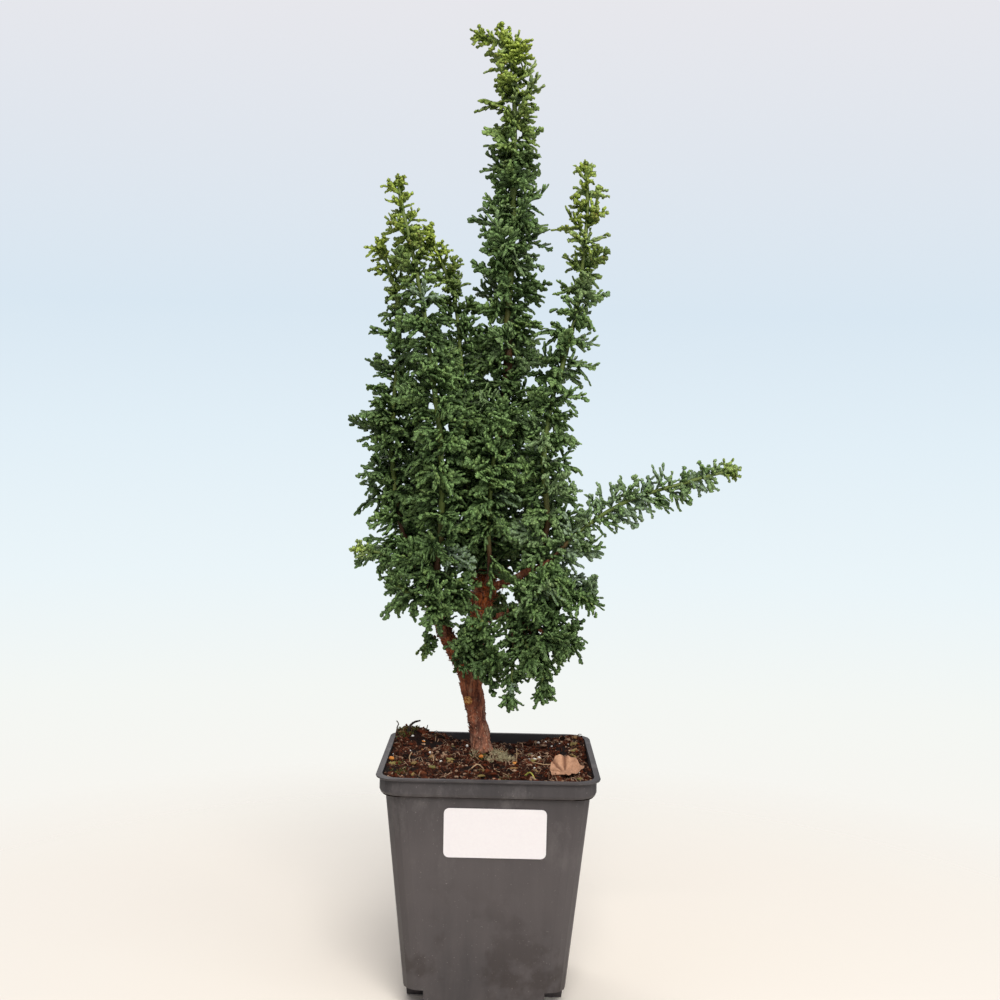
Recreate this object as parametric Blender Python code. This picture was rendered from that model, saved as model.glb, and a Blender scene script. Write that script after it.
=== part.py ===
"""A young hinoki cypress growing in a square plastic nursery pot, at its real size.

The origin is the centre of the pot's base, +Z is up and -Y is the pot's front, where the
blank label sits. Lengths below are millimetres and are turned into metres by MM.
"""

import math
import random

import bmesh
import bpy
from mathutils import Matrix, Vector
from mathutils.bvhtree import BVHTree

MM = 0.001

# The pot: a tapered square tub with a collar and a thin lip
POT_HEIGHT = 120.0
POT_LIP_HALF = 55.0
POT_LIP_THICKNESS = 1.1
POT_COLLAR_HALF = 53.2
POT_COLLAR_BOTTOM = 111.0
POT_WALL_TOP_HALF = 50.5
POT_BASE_HALF = 39.5
POT_WALL = 1.2
POT_FLOOR = 1.5
POT_CORNER_TOP = 11.0
POT_CORNER_BASE = 9.0
POT_CORNER_POINTS = 4
NOTCH_HEIGHT = 11.0
NOTCH_START_X = 30.0
NOTCH_START_Y = 18.0
DRAIN_RADIUS = 3.5
DRAIN_X = 33.5
DRAIN_Y = 26.0

# The blank sticker on the front wall
LABEL_WIDTH = 50.0
LABEL_HEIGHT = 25.0
LABEL_THICKNESS = 0.3
LABEL_CORNER = 2.6
LABEL_CENTRE_X = 3.9
LABEL_TOP_Z = 105.4
TOUCH_GAP = 0.3

# The soil
SOIL_LEVEL = 117.6
SOIL_RINGS = 7
SOIL_SIDE_PIECES = 4
SOIL_CLODS = 9
CLOD_SIZES = (1.6, 3.0)
CLOD_AREA_HALF = 46.0
CLEAR_OF_TRUNK = 11.0
CLEAR_OF_LEAF = 13.0
CLEAR_OF_TWIG = 12.0
HOLE_DEPTH = 24.0
TRUNK_X = -3.8
TRUNK_Y = 14.0
TRUNK_HOLE_RADIUS = 6.3

# The wood: points and radius of the trunk and of each limb, from its root to its end
TRUNK = ((-3.6, 14, 95, 5.2), (-3.8, 14, 117, 5.7), (-4.8, 14, 124, 5.2), (-6.4, 14, 133, 4.9),
         (-8.2, 14, 143, 5.1), (-10.1, 13.8, 152, 5.6), (-11.6, 13.2, 159, 5.0))
LIMBS = {
    "left_fork": ((-10.6, 13.5, 154, 4.5), (-15, 12, 165, 4.3), (-19.5, 10, 173, 3.9),
                  (-23.5, 8, 180, 3.6), (-27, 6, 188, 3.3), (-30.5, 4.5, 196, 2.9),
                  (-32.3, 2.6, 203, 2.4), (-32.3, 0.6, 208, 2.0)),
    "main": ((-9.4, 14, 151, 4.4), (-8.2, 15.5, 164, 4.2), (-7.2, 17, 178, 4.0),
             (-6.6, 18, 190, 4.8), (-5.6, 18, 200, 5.1), (-4.2, 18, 208, 4.4), (-3.2, 18, 216, 3.6)),
    "to_right_mass": ((-6.2, 17, 190, 2.3), (2, 10, 191, 1.9), (8.5, 4, 192.5, 1.8),
                      (14, -2, 195, 1.7), (20, -8, 200.5, 1.5)),
    "to_right_leader": ((-4.6, 17, 204, 2.6), (4, 12, 208, 2.2), (13, 4, 213, 2.0),
                        (18, -1, 217, 1.9), (20.5, -3, 220.5, 1.7)),
    "to_lateral": ((16.5, 0.5, 216, 1.6), (23.5, -7.5, 219.5, 1.4), (28.5, -13, 223, 1.3)),
    "to_right_low": ((15.5, -3.5, 196, 1.4), (20, -6.5, 194.6, 1.2), (25, -8, 193, 1.1)),
    "to_hanging_near": ((8.5, 4, 192.5, 1.4), (10.2, -2, 189.5, 1.2), (11, -6, 186, 1.1)),
    "to_hanging_far": ((13.5, -1.5, 194.6, 1.4), (17, -6, 190.6, 1.2), (19, -9, 187, 1.1)),
    "to_front_clump": ((-8, 15, 167, 1.7), (-8, 6, 170.5, 1.4), (-9, -1, 174.5, 1.1)),
    "to_front_clump_right": ((-8, 8, 169.6, 1.4), (-6.6, 3, 171.4, 1.2), (-5, -1, 173, 1.1)),
    "to_front_clump_top": ((-8, 8, 169.6, 1.4), (-7.6, 3, 174, 1.2), (-7, -1.2, 178, 1.1)),
    "to_tuft": ((-23.5, 8, 180, 1.5), (-26.5, 4, 181.2, 1.2), (-28.4, 1.6, 181.6, 1.0)),
    "to_outer": ((-31, 4.4, 198, 2.4), (-37, 6, 207, 2.0), (-41.5, 7, 216, 1.8)),
    "to_left_tip": ((-38.6, 6.4, 210, 1.4), (-42.4, 4.2, 213.6, 1.2), (-45.4, 2.6, 216.4, 1.1)),
    "to_left_skirt": ((-30, 4.6, 195, 1.6), (-33, 1.2, 197.4, 1.3), (-35.4, -2.4, 199.4, 1.2)),
    "to_inner": ((-6, 17, 200, 2.3), (-9, 13, 206, 1.9), (-10.7, 10.5, 212, 1.7)),
    "to_front_leader": ((-4.6, 17, 205, 2.1), (-3, 9, 210, 1.6), (-2, 2, 214, 1.4)),
    "to_back_leader": ((-4.4, 18, 206, 2.4), (-6, 26, 212, 1.8), (-7, 32, 218, 1.6)),
    "to_back_right": ((-3.8, 18, 210, 2.2), (4, 24.6, 214.6, 1.6), (9, 28, 218, 1.5)),
    "to_back_left": ((-32, 3.4, 200, 2.0), (-35, 12, 205, 1.6), (-37, 18.5, 210, 1.5)),
    "to_back_low": ((-6.4, 19, 191, 2.0), (-5.4, 24, 192.6, 1.4), (-5, 27, 193.6, 1.2)),
    "to_mass_front": ((14, -2, 195, 1.5), (15, -9, 197.4, 1.2), (16, -14, 200.4, 1.1)),
    "to_mass_back": ((2.5, 9.6, 191.1, 1.5), (8, 12, 194, 1.2), (13, 13, 197.6, 1.1)),
    "to_low_front": ((20, -6.5, 194.6, 1.2), (23, -12, 190.4, 1.1), (25, -16, 187.4, 1.0)),
    "to_left_low": ((-22, 8.8, 177, 1.6), (-24, 1, 183, 1.3), (-25, -4, 187.6, 1.1)),
    "to_between": ((-26.4, 6.2, 186.6, 1.5), (-24.6, 1, 192, 1.3), (-22.8, -3.2, 196.7, 1.1)),
    "to_under": ((12.4, -0.4, 194, 1.4), (14, -5.4, 190.8, 1.2), (15.5, -9.3, 187.4, 1.1)),
}
WOOD_SIDES = 8
LIMB_SIDES = 5

# Each leafy stem: its points, its first and last radius, how far its sprays reach at even
# shares of its length, how many degrees they rise at its foot and tip, and a seed. With a
# frond of 1 the sprays stand on two sides, and without one they stand all round
STEMS = {
    "leader_main": dict(
        points=((-3.1, 18, 216.9), (-0.6, 18, 238.8), (1.6, 18, 257.4), (3.6, 17, 289.2), (5.5, 16, 324.4),
                (4.8, 15, 355.6), (5.9, 14, 375.3), (6.4, 14, 401.2), (6.2, 13, 421.7), (6.1, 12, 439.5),
                (6.0, 11, 459.7), (6.0, 10, 473.5), (3.4, 8, 483.2), (-3.6, 6, 488.4), (-13.4, 5, 489.2)),
        radius=(3.5, 0.9), reach=(22, 25, 25, 24, 21, 20, 17, 14, 5), rise=(5, 50), seed=11),
    "leader_left": dict(
        points=((-32.2, -0.6, 209.0), (-29, -6, 218), (-26.8, -11, 234), (-26.7, -14, 263.1),
                (-28.2, -14, 286.8), (-31.6, -14, 309.4), (-35.2, -13, 333.5), (-38.6, -12, 353.6),
                (-41.4, -11, 366.2), (-44.8, -10, 381.3), (-49.2, -9, 397.9), (-52.1, -8, 413.0)),
        radius=(1.9, 0.9), reach=(20, 22, 22, 20, 19, 17, 12, 10, 4), rise=(-15, 50), seed=12),
    "leader_inner": dict(
        points=((-11.0, 10.0, 213.0), (-12.3, 8.5, 232), (-13.5, 8, 256), (-15.6, 8, 283.5),
                (-18.3, 8, 314.7), (-20.5, 9, 340.6), (-22.9, 10, 356.2), (-27.8, 10, 369.9),
                (-32.7, 9, 381.5), (-37.9, 6, 390.8)),
        radius=(1.6, 0.9), reach=(20, 20, 20, 19, 17, 15, 12, 10, 6), rise=(0, 50), seed=13),
    "leader_outer": dict(
        points=((-42.0, 7.1, 217.0), (-46.4, 8, 230), (-51.6, 9, 251.4), (-54.8, 10, 277.5),
                (-53.6, 9, 303.6), (-51.4, 8, 329.5), (-51.0, 7, 343.9), (-53.8, 6, 360.2),
                (-57.5, 4, 372.3), (-62, 3, 383.3)),
        radius=(1.7, 0.9), reach=(20, 27, 27, 25, 18, 13, 11, 9, 6), rise=(-10, 50), seed=14),
    "leader_right": dict(
        points=((21.0, -3.3, 221.4), (25, -5.4, 231), (27.7, -7, 241), (26.3, -8, 255), (24.4, -8, 270.1),
                (25.4, -7, 286), (28.4, -6, 306), (33, -6, 322), (39.1, -5, 345.8), (42.4, -5, 374),
                (44.1, -5, 399), (43.8, -5, 412), (42.5, -5, 422.6)),
        radius=(1.6, 0.9), reach=(23, 22, 21, 18, 17, 15, 13, 11, 4), rise=(-5, 50), seed=15),
    "lateral_right": dict(
        points=((29.4, -13.8, 223.7), (36.5, -17.8, 232.3), (43.4, -19, 239.1), (51.6, -21, 245.9),
                (59.9, -22, 251.2), (69.6, -24, 256.5), (81.7, -26, 260.8), (92.4, -27, 264.0),
                (102.6, -28, 267.3), (117.5, -30, 271.8)),
        radius=(1.2, 0.8), spacing=2.9, reach=(14, 12, 10, 8, 5), rise=(42, 50), frond=1, seed=16),
    "leader_front": dict(
        points=((-1.8, 1.0, 214.8), (-2, -6, 224), (-3, -10, 240), (-2, -12, 260), (0, -12, 282),
                (3, -11, 302)),
        radius=(1.3, 0.9), spacing=3.2, reach=(17, 20, 19, 17, 8), rise=(-20, 50), seed=17),
    "leader_back": dict(
        points=((-7.2, 32.7, 218.9), (-9, 38, 235), (-11, 40, 258), (-12, 40, 285), (-12, 38, 312),
                (-11, 36, 338)),
        radius=(1.5, 0.9), reach=(20, 21, 20, 15, 6), rise=(-10, 50), seed=18),
    "leader_back_right": dict(
        points=((9.9, 28.6, 218.6), (16, 32, 232), (20, 34, 252), (22, 34, 275), (23, 32, 300)),
        radius=(1.4, 0.9), reach=(18, 20, 18, 14, 6), rise=(-15, 50), seed=19),
    "leader_back_left": dict(
        points=((-37.4, 19.4, 210.9), (-40, 26, 225), (-42, 29, 246), (-43, 30, 270), (-42, 29, 295),
                (-40, 27, 320)),
        radius=(1.4, 0.9), reach=(18, 19, 18, 14, 6), rise=(-15, 50), seed=20),
    "mass_right_upper": dict(
        points=((20.9, -8.8, 201.2), (30, -13, 205.4), (40, -15, 207.6), (49, -13, 208)),
        radius=(1.4, 0.9), spacing=1.5, reach=(15, 16, 15, 12, 7), rise=(35, 45), seed=21),
    "mass_right_lower": dict(
        points=((26.0, -8.4, 192.6), (32.8, -11.6, 187.4), (39.0, -12.6, 183.4), (43.6, -12, 180.6)),
        radius=(1.0, 0.9), spacing=1.5, reach=(13, 15, 13, 10, 6), rise=(35, 45), seed=22),
    "mass_right_front": dict(
        points=((16.4, -14.9, 201.1), (20, -21, 206), (26, -25, 211), (33, -26, 216)),
        radius=(1.0, 0.9), spacing=1.6, reach=(12, 14, 13, 11, 7), rise=(30, 45), seed=31),
    "mass_right_back": dict(
        points=((13.9, 13.2, 198.4), (22, 13, 204), (32, 11, 208), (41, 8, 210)),
        radius=(1.0, 0.9), spacing=2.2, reach=(12, 14, 13, 11, 7), rise=(30, 45), seed=32),
    "mass_right_foot": dict(
        points=((25.6, -16.8, 186.8), (30.5, -21.5, 182.4), (35, -24, 179.6)),
        radius=(0.9, 0.8), spacing=1.6, reach=(10, 13, 12, 9, 6), rise=(35, 45), seed=33),
    "mass_right_under": dict(
        points=((15.9, -10.1, 186.8), (17.8, -14, 181), (19.6, -18.6, 174.6), (20.6, -21, 168.6)),
        radius=(0.9, 0.8), spacing=1.8, reach=(10, 13, 12, 10, 6), rise=(35, 45), seed=36),
    "hanging_near": dict(
        points=((11.2, -6.9, 185.2), (11.4, -13, 175), (10.8, -17, 163), (10.1, -19, 151)),
        radius=(1.0, 0.8), spacing=2.3, reach=(9, 10, 8, 6, 4), rise=(35, 45), frond=0.6, seed=23),
    "hanging_far": dict(
        points=((19.5, -9.7, 186.1), (24.4, -15, 177), (26.4, -17.6, 166.4), (26.7, -18.6, 155)),
        radius=(1.0, 0.8), spacing=2.0, reach=(10, 12, 10, 8, 4), rise=(35, 45), frond=0.6, seed=24),
    "clump_front_left": dict(
        points=((-9.4, -1.9, 175.0), (-12.6, -8, 178.2), (-14.9, -12, 182.4)),
        radius=(1.0, 0.9), spacing=1.3, reach=(13, 14, 12, 10, 6), rise=(30, 45), seed=25),
    "clump_front_right": dict(
        points=((-4.6, -1.9, 173.0), (-1, -8.6, 171.6), (3.6, -14, 170.4)),
        radius=(1.0, 0.9), spacing=1.3, reach=(13, 15, 14, 12, 8), rise=(30, 45), seed=26),
    "clump_front_top": dict(
        points=((-6.7, -2.0, 178.6), (-6.6, -7.4, 182.8), (-6, -11.6, 187.6), (-4.8, -14, 192)),
        radius=(1.0, 0.9), spacing=1.5, reach=(12, 14, 13, 11, 7), rise=(30, 45), seed=37),
    "clump_left": dict(
        points=((-25.2, -4.9, 188.5), (-27, -11, 196), (-29.4, -16, 203.6)),
        radius=(1.0, 0.9), spacing=1.5, reach=(5, 9, 13, 12, 8), rise=(30, 45), seed=34),
    "clump_between": dict(
        points=((-22.4, -4.0, 197.4), (-20, -7.6, 202), (-17.6, -9.6, 207.2), (-16.4, -10, 212.4)),
        radius=(1.0, 0.9), spacing=1.6, reach=(11, 14, 13, 11, 7), rise=(30, 45), seed=35),
    "tuft_left": dict(
        points=((-29.3, 0.8, 181.4), (-32.6, -1.6, 178.4), (-34.6, -2.8, 173.4)),
        radius=(0.9, 0.8), spacing=2.0, reach=(4, 5, 5, 4, 3), rise=(35, 45), frond=0.5, seed=27),
    "left_tip": dict(
        points=((-46.3, 2.2, 217.2), (-53, 0.2, 222.0), (-61, -1.8, 225.0), (-70, -4, 226.4)),
        radius=(1.0, 0.8), spacing=3.0, reach=(7, 5, 4, 3.5, 3), rise=(40, 50), frond=0.8, seed=28),
    "skirt_left": dict(
        points=((-36.0, -3.3, 199.9), (-41.4, -8.4, 203.6), (-46.8, -10.6, 207.2), (-51.6, -9.6, 211)),
        radius=(1.1, 0.9), spacing=1.6, reach=(12, 14, 12, 9, 5), rise=(32, 45), seed=29),
    "skirt_back": dict(
        points=((-4.8, 28.1, 193.9), (-2.6, 35, 196), (1, 41, 198.6)),
        radius=(1.1, 0.9), spacing=2.2, reach=(12, 14, 13, 10, 7), rise=(32, 45), seed=30),
}
STEM_SIDES = 5
RING_STEP = 6.0
RING_TWIST = 0.37
TIP_LENGTH = 4.0

# The sprays: flat fans of tapering shoots, raised from the stem's triangles
SPRAY_SPACING = 3.95
SPRAY_TURN = math.radians(137.5)
TURN_SPREAD = 0.3
RISE_SPREAD = 10.0
REACH_SPREAD = (0.72, 1.1)
DROOP = (-0.05, 0.3)
SHORTEST_SPRAY = 4.0
LONG_SPRAY = 19.0
RIB_RADIUS = 0.9
RIB_TAPER = (1.15, 0.75)
SHOOT_REACH = (0.47, 0.11)
SHOOT_PEAK = 0.4
SHOOT_SPREAD = (0.85, 1.15)
SHOOT_LEAN = (40, 58)
SHOOT_DROOP = 0.4
# Each try at placing a spray: degrees round the stem, degrees of lift, and share of its length
TRIES = ((0, 0, 1.0), (22, 0, 1.0), (-22, 0, 1.0), (0, 24, 1.0), (0, -24, 1.0), (40, 12, 0.92),
         (-40, 12, 0.92), (60, -18, 0.85), (-60, -18, 0.85), (85, 22, 0.8), (-85, 22, 0.8),
         (10, 0, 0.7), (-30, 15, 0.7), (30, -15, 0.6), (0, 20, 0.5), (0, 0, 0.4))
CLEARANCE = 0.3
SHRUNK = 0.97
NEAR = 0.8

# Loose things lying on the soil
LEAF_CENTRE = (39.0, -34.0)
LEAF_LENGTH = 17.0
LEAF_HALF_WIDTH = 6.1
LEAF_THICKNESS = 0.7
LEAF_TURN = -12.0
# The leaf's rise from its front edge to its back one, its hollow and its waves
LEAF_RISE = 2.6
LEAF_HOLLOW = 1.5
LEAF_WAVE = 0.8
TWIG = ((-44.5, 34, -3.0), (-44.5, 34, 1.0), (-43.8, 34.6, 4.2), (-41.6, 35.6, 6.2), (-38.4, 36.6, 7.0))
TWIG_RADIUS = 0.75


def clear_scene():
    for obj in list(bpy.data.objects):
        bpy.data.objects.remove(obj)


def material(name, colour, roughness):
    made = bpy.data.materials.new(name)
    made.use_nodes = True
    shader = made.node_tree.nodes["Principled BSDF"]
    shader.inputs["Base Color"].default_value = (*colour, 1.0)
    shader.inputs["Roughness"].default_value = roughness
    shader.inputs["Metallic"].default_value = 0.0
    return made


def object_from(name, points, faces, surface=None):
    """An object whose points, given in millimetres, become metres."""
    mesh = bpy.data.meshes.new(name)
    mesh.from_pydata([Vector(point) * MM for point in points], [], faces)
    mesh.update()
    made = bpy.data.objects.new(name, mesh)
    bpy.context.scene.collection.objects.link(made)
    if surface:
        mesh.materials.append(surface)
    return made


def shade_round(obj, degrees):
    obj.data.shade_smooth()
    obj.data.set_sharp_from_angle(angle=math.radians(degrees))


def apply_modifiers(obj):
    graph = bpy.context.evaluated_depsgraph_get()
    mesh = bpy.data.meshes.new_from_object(obj.evaluated_get(graph))
    obj.modifiers.clear()
    obj.data = mesh


def remove(objects):
    for obj in list(objects):
        bpy.data.objects.remove(obj)


def boolean(obj, others, operation):
    """Cuts the others from obj, or fuses them to it, in one step, and removes them."""
    group = bpy.data.collections.new("operands")
    bpy.context.scene.collection.children.link(group)
    for other in others:
        bpy.context.scene.collection.objects.unlink(other)
        group.objects.link(other)
    step = obj.modifiers.new(operation, "BOOLEAN")
    step.operation = operation
    step.operand_type = "COLLECTION"
    step.collection = group
    step.solver = "EXACT"
    apply_modifiers(obj)
    remove(others)
    bpy.data.collections.remove(group)


def loft(name, rings, surface=None):
    """A closed solid through rings that all have the same number of points."""
    count = len(rings[0])
    points = [point for ring in rings for point in ring]
    faces = [tuple(reversed(range(count)))]
    for level in range(len(rings) - 1):
        for i in range(count):
            j = (i + 1) % count
            low = level * count
            faces.append((low + i, low + j, low + count + j, low + count + i))
    faces.append(tuple(range(len(points) - count, len(points))))
    return object_from(name, points, faces, surface)


def rounded_square(half, radius, z):
    """Points round a square with arcs at its corners, anticlockwise from above."""
    ring = []
    for corner in range(4):
        start = corner * math.pi / 2
        centre = Vector((half - radius, half - radius)) if radius else Vector((half, half))
        for i in range(POT_CORNER_POINTS + 1):
            angle = math.pi / 2 * i / POT_CORNER_POINTS
            x = centre.x + radius * math.cos(angle)
            y = centre.y + radius * math.sin(angle)
            turned = Matrix.Rotation(start, 2) @ Vector((x, y))
            ring.append((turned.x, turned.y, z))
    return ring


def box(name, low, high):
    points = [(x, y, z) for z in (low[2], high[2]) for y in (low[1], high[1]) for x in (low[0], high[0])]
    faces = [(0, 2, 3, 1), (4, 5, 7, 6), (0, 1, 5, 4), (2, 6, 7, 3), (0, 4, 6, 2), (1, 3, 7, 5)]
    return object_from(name, points, faces)


def corner_boxes(margin, top):
    """Four boxes at the pot's foot, one at each corner, grown inwards by the margin."""
    reach = POT_BASE_HALF + 30
    made = []
    for side_x in (-1, 1):
        for side_y in (-1, 1):
            x = sorted((side_x * (NOTCH_START_X - margin), side_x * reach))
            y = sorted((side_y * (NOTCH_START_Y - margin), side_y * reach))
            made.append(box("corner", (x[0], y[0], -1.0), (x[1], y[1], top)))
    return made


def wall_half(z):
    """Half the pot's outer width at a height below the collar."""
    share = z / POT_COLLAR_BOTTOM
    return POT_BASE_HALF + (POT_WALL_TOP_HALF - POT_BASE_HALF) * share


def corner_at(z):
    return POT_CORNER_BASE + (POT_CORNER_TOP - POT_CORNER_BASE) * z / POT_HEIGHT


def cavity_rings(gap):
    """The inside of the pot, from its floor to above its lip, pulled in by a gap."""
    low = POT_FLOOR + gap
    inset = POT_WALL + gap
    collar = POT_COLLAR_HALF - inset
    levels = (
        (low, wall_half(low) - inset),
        (POT_COLLAR_BOTTOM - 1.5, wall_half(POT_COLLAR_BOTTOM - 1.5) - inset),
        (POT_COLLAR_BOTTOM + 1.2, collar),
        (POT_HEIGHT + 1.0, collar),
    )
    return [rounded_square(half, corner_at(z) - inset, z) for z, half in levels]


def pot_outside():
    lip = POT_HEIGHT - POT_LIP_THICKNESS
    levels = (
        (0.0, POT_BASE_HALF),
        (POT_COLLAR_BOTTOM - 1.2, wall_half(POT_COLLAR_BOTTOM - 1.2)),
        (POT_COLLAR_BOTTOM - 0.5, POT_WALL_TOP_HALF + 0.9),
        (POT_COLLAR_BOTTOM + 0.3, POT_COLLAR_HALF - 0.5),
        (POT_COLLAR_BOTTOM + 1.5, POT_COLLAR_HALF),
        (lip - 0.6, POT_COLLAR_HALF),
        (lip, POT_LIP_HALF - 0.3),
        (lip + 0.45, POT_LIP_HALF),
        (POT_HEIGHT - 0.2, POT_LIP_HALF - 0.1),
        (POT_HEIGHT, POT_LIP_HALF - 0.5),
    )
    return [rounded_square(half, corner_at(z), z) for z, half in levels]


def drain_holes():
    made = []
    spots = [(x, y) for x in (-DRAIN_X, DRAIN_X) for y in (-DRAIN_Y, DRAIN_Y)]
    spots += [(x, 0.0) for x in (-18.0, 18.0)]
    for x, y in spots:
        ring = [
            (x + DRAIN_RADIUS * math.cos(a), y + DRAIN_RADIUS * math.sin(a))
            for a in (i * math.pi / 6 for i in range(12))
        ]
        made.append(loft("drain", [[(*p, z) for p in ring] for z in (-2.0, NOTCH_HEIGHT + 4.0)]))
    return made


def build_pot():
    plastic = material("pot_plastic", (0.082, 0.074, 0.072), 0.5)
    cavity = loft("cavity", cavity_rings(0.0))
    boolean(cavity, corner_boxes(POT_FLOOR, NOTCH_HEIGHT + POT_FLOOR), "DIFFERENCE")
    pot = loft("pot", pot_outside(), plastic)
    boolean(pot, [*corner_boxes(0.0, NOTCH_HEIGHT), cavity, *drain_holes()], "DIFFERENCE")
    shade_round(pot, 35)
    return pot


def build_label():
    """A thin plate with rounded corners, parallel to the leaning front wall."""
    paper = material("label_paper", (0.86, 0.82, 0.81), 0.45)
    ring = []
    for corner, (side_x, side_y) in enumerate(((1, 1), (-1, 1), (-1, -1), (1, -1))):
        centre_x = side_x * (LABEL_WIDTH / 2 - LABEL_CORNER)
        centre_y = side_y * (LABEL_HEIGHT / 2 - LABEL_CORNER)
        for i in range(5):
            angle = math.pi / 2 * (corner + i / 4)
            x = centre_x + LABEL_CORNER * math.cos(angle)
            ring.append((x, centre_y + LABEL_CORNER * math.sin(angle)))
    label = loft("label", [[(*p, z) for p in ring] for z in (0.0, LABEL_THICKNESS)], paper)
    lean = math.atan((POT_WALL_TOP_HALF - POT_BASE_HALF) / POT_COLLAR_BOTTOM)
    middle_z = LABEL_TOP_Z - LABEL_HEIGHT / 2
    middle_y = -wall_half(middle_z) - TOUCH_GAP
    label.location = Vector((LABEL_CENTRE_X, middle_y, middle_z)) * MM
    label.rotation_euler = (math.pi / 2 + lean, 0.0, 0.0)
    return label


def hump(x, y, centre_x, centre_y, spread_x, spread_y):
    return math.exp(-(((x - centre_x) / spread_x) ** 2) - ((y - centre_y) / spread_y) ** 2)


def soil_height(x, y):
    """Height of the soil: a mound at the back left, a dip along the back wall."""
    z = SOIL_LEVEL
    z += 7.0 * hump(x, y, -42, 40, 15, 13)
    z += 2.6 * hump(x, y, 42, 40, 16, 14)
    z -= 5.0 * hump(x, y, 4, 50, 26, 11)
    z -= 3.2 * hump(x, y, 52, 2, 9, 15)
    z += 1.2 * hump(x, y, TRUNK_X, TRUNK_Y, 12, 10)
    z += 0.7 * math.sin(0.31 * x + 1.3) * math.sin(0.37 * y + 0.4)
    z += 0.45 * math.sin(0.83 * x - 0.6 * y) + 0.35 * math.cos(0.9 * y + 0.5 * x)
    return z


def with_side_points(ring):
    """The same ring with more points along its four straight sides."""
    fuller = []
    for i, point in enumerate(ring):
        start = Vector(point)
        end = Vector(ring[(i + 1) % len(ring)])
        pieces = SOIL_SIDE_PIECES if (end - start).length > 20.0 else 1
        fuller += [tuple(start.lerp(end, k / pieces)) for k in range(pieces)]
    return fuller


def soil_ring(share):
    """A ring between the trunk's hole and the pot's wall, at this share of the way out."""
    ring = []
    for x, y, _ in with_side_points(rounded_square(*soil_edge())):
        angle = math.atan2(y - TRUNK_Y, x - TRUNK_X)
        hole_x = TRUNK_X + TRUNK_HOLE_RADIUS * math.cos(angle)
        hole_y = TRUNK_Y + TRUNK_HOLE_RADIUS * math.sin(angle)
        here = (hole_x + (x - hole_x) * share, hole_y + (y - hole_y) * share)
        ring.append((*here, soil_height(*here)))
    return ring


def soil_edge():
    inset = POT_WALL + TOUCH_GAP
    return POT_COLLAR_HALF - inset, corner_at(SOIL_LEVEL) - inset, SOIL_LEVEL


def clods(rng):
    """Lumps of peat, grains of perlite and pellets that stand out of the soil."""
    kept_clear = ((TRUNK_X, TRUNK_Y, CLEAR_OF_TRUNK), (*LEAF_CENTRE, CLEAR_OF_LEAF),
                  (*TWIG[0][:2], CLEAR_OF_TWIG))
    made = []
    while len(made) < SOIL_CLODS:
        x = rng.uniform(-CLOD_AREA_HALF, CLOD_AREA_HALF)
        y = rng.uniform(-CLOD_AREA_HALF, CLOD_AREA_HALF)
        if any(math.hypot(x - spot_x, y - spot_y) < reach for spot_x, spot_y, reach in kept_clear):
            continue
        size = rng.uniform(*CLOD_SIZES)
        shape = bmesh.new()
        bmesh.ops.create_icosphere(shape, subdivisions=1, radius=size)
        turn = Matrix.Rotation(rng.uniform(0, 2 * math.pi), 3, (rng.random(), rng.random(), 1.0))
        centre = Vector((x, y, soil_height(x, y) - 0.2 * size))
        points = [centre + turn @ v.co * rng.uniform(0.85, 1.15) for v in shape.verts]
        faces = [[v.index for v in face.verts] for face in shape.faces]
        shape.free()
        made.append(object_from("clod", points, faces))
    return made


def twig_hole():
    """A plain hole, one gap wider and deeper than the buried end of the twig."""
    x, y, depth = TWIG[0]
    foot = soil_height(x, y)
    ends = [Vector((x, y, foot + depth - TOUCH_GAP)), Vector((x, y, foot + 6.0))]
    return tube("hole", ends, [TWIG_RADIUS + TOUCH_GAP] * 2, 8)


def build_soil():
    peat = material("soil_peat", (0.045, 0.022, 0.016), 0.95)
    below = [with_side_points(ring) for ring in cavity_rings(TOUCH_GAP)[:3]]
    shares = [((SOIL_RINGS - i) / SOIL_RINGS) ** 0.9 for i in range(SOIL_RINGS + 1)]
    top = [soil_ring(share) for share in shares]
    hole = [(x, y, SOIL_LEVEL - HOLE_DEPTH) for x, y, _ in top[-1]]
    soil = loft("soil", [*below, *top, hole], peat)
    corners = corner_boxes(POT_FLOOR + TOUCH_GAP, NOTCH_HEIGHT + POT_FLOOR + TOUCH_GAP)
    boolean(soil, corners, "DIFFERENCE")
    boolean(soil, clods(random.Random(5)), "UNION")
    boolean(soil, [twig_hole()], "DIFFERENCE")
    return soil


def frames(points):
    """A tangent and two directions across it at each point of a path."""
    found = []
    across = Vector((1.0, 0.0, 0.0))
    for i, point in enumerate(points):
        before = points[max(i - 1, 0)]
        after = points[min(i + 1, len(points) - 1)]
        tangent = (after - before).normalized()
        across = across - tangent * across.dot(tangent)
        if across.length < 0.1:
            across = tangent.orthogonal()
        across.normalize()
        found.append((point, tangent, across.copy(), tangent.cross(across)))
    return found


def tube(name, points, radii, sides, surface=None):
    rings = []
    for (point, _, across, up), radius in zip(frames(points), radii):
        ring = []
        for i in range(sides):
            angle = 2 * math.pi * i / sides
            ring.append(point + radius * (math.cos(angle) * across + math.sin(angle) * up))
        rings.append(ring)
    return loft(name, rings, surface)


def limb(name, rows, sides, surface=None):
    return tube(name, [Vector(row[:3]) for row in rows], [row[3] for row in rows], sides, surface)


def build_wood():
    bark = material("bark", (0.23, 0.095, 0.05), 0.85)
    trunk = limb("wood", TRUNK, WOOD_SIDES, bark)
    others = []
    for name, rows in LIMBS.items():
        sides = WOOD_SIDES if name in ("left_fork", "main") else LIMB_SIDES
        others.append(limb(name, rows, sides))
    boolean(trunk, others, "UNION")
    shade_round(trunk, 50)
    return trunk


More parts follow.
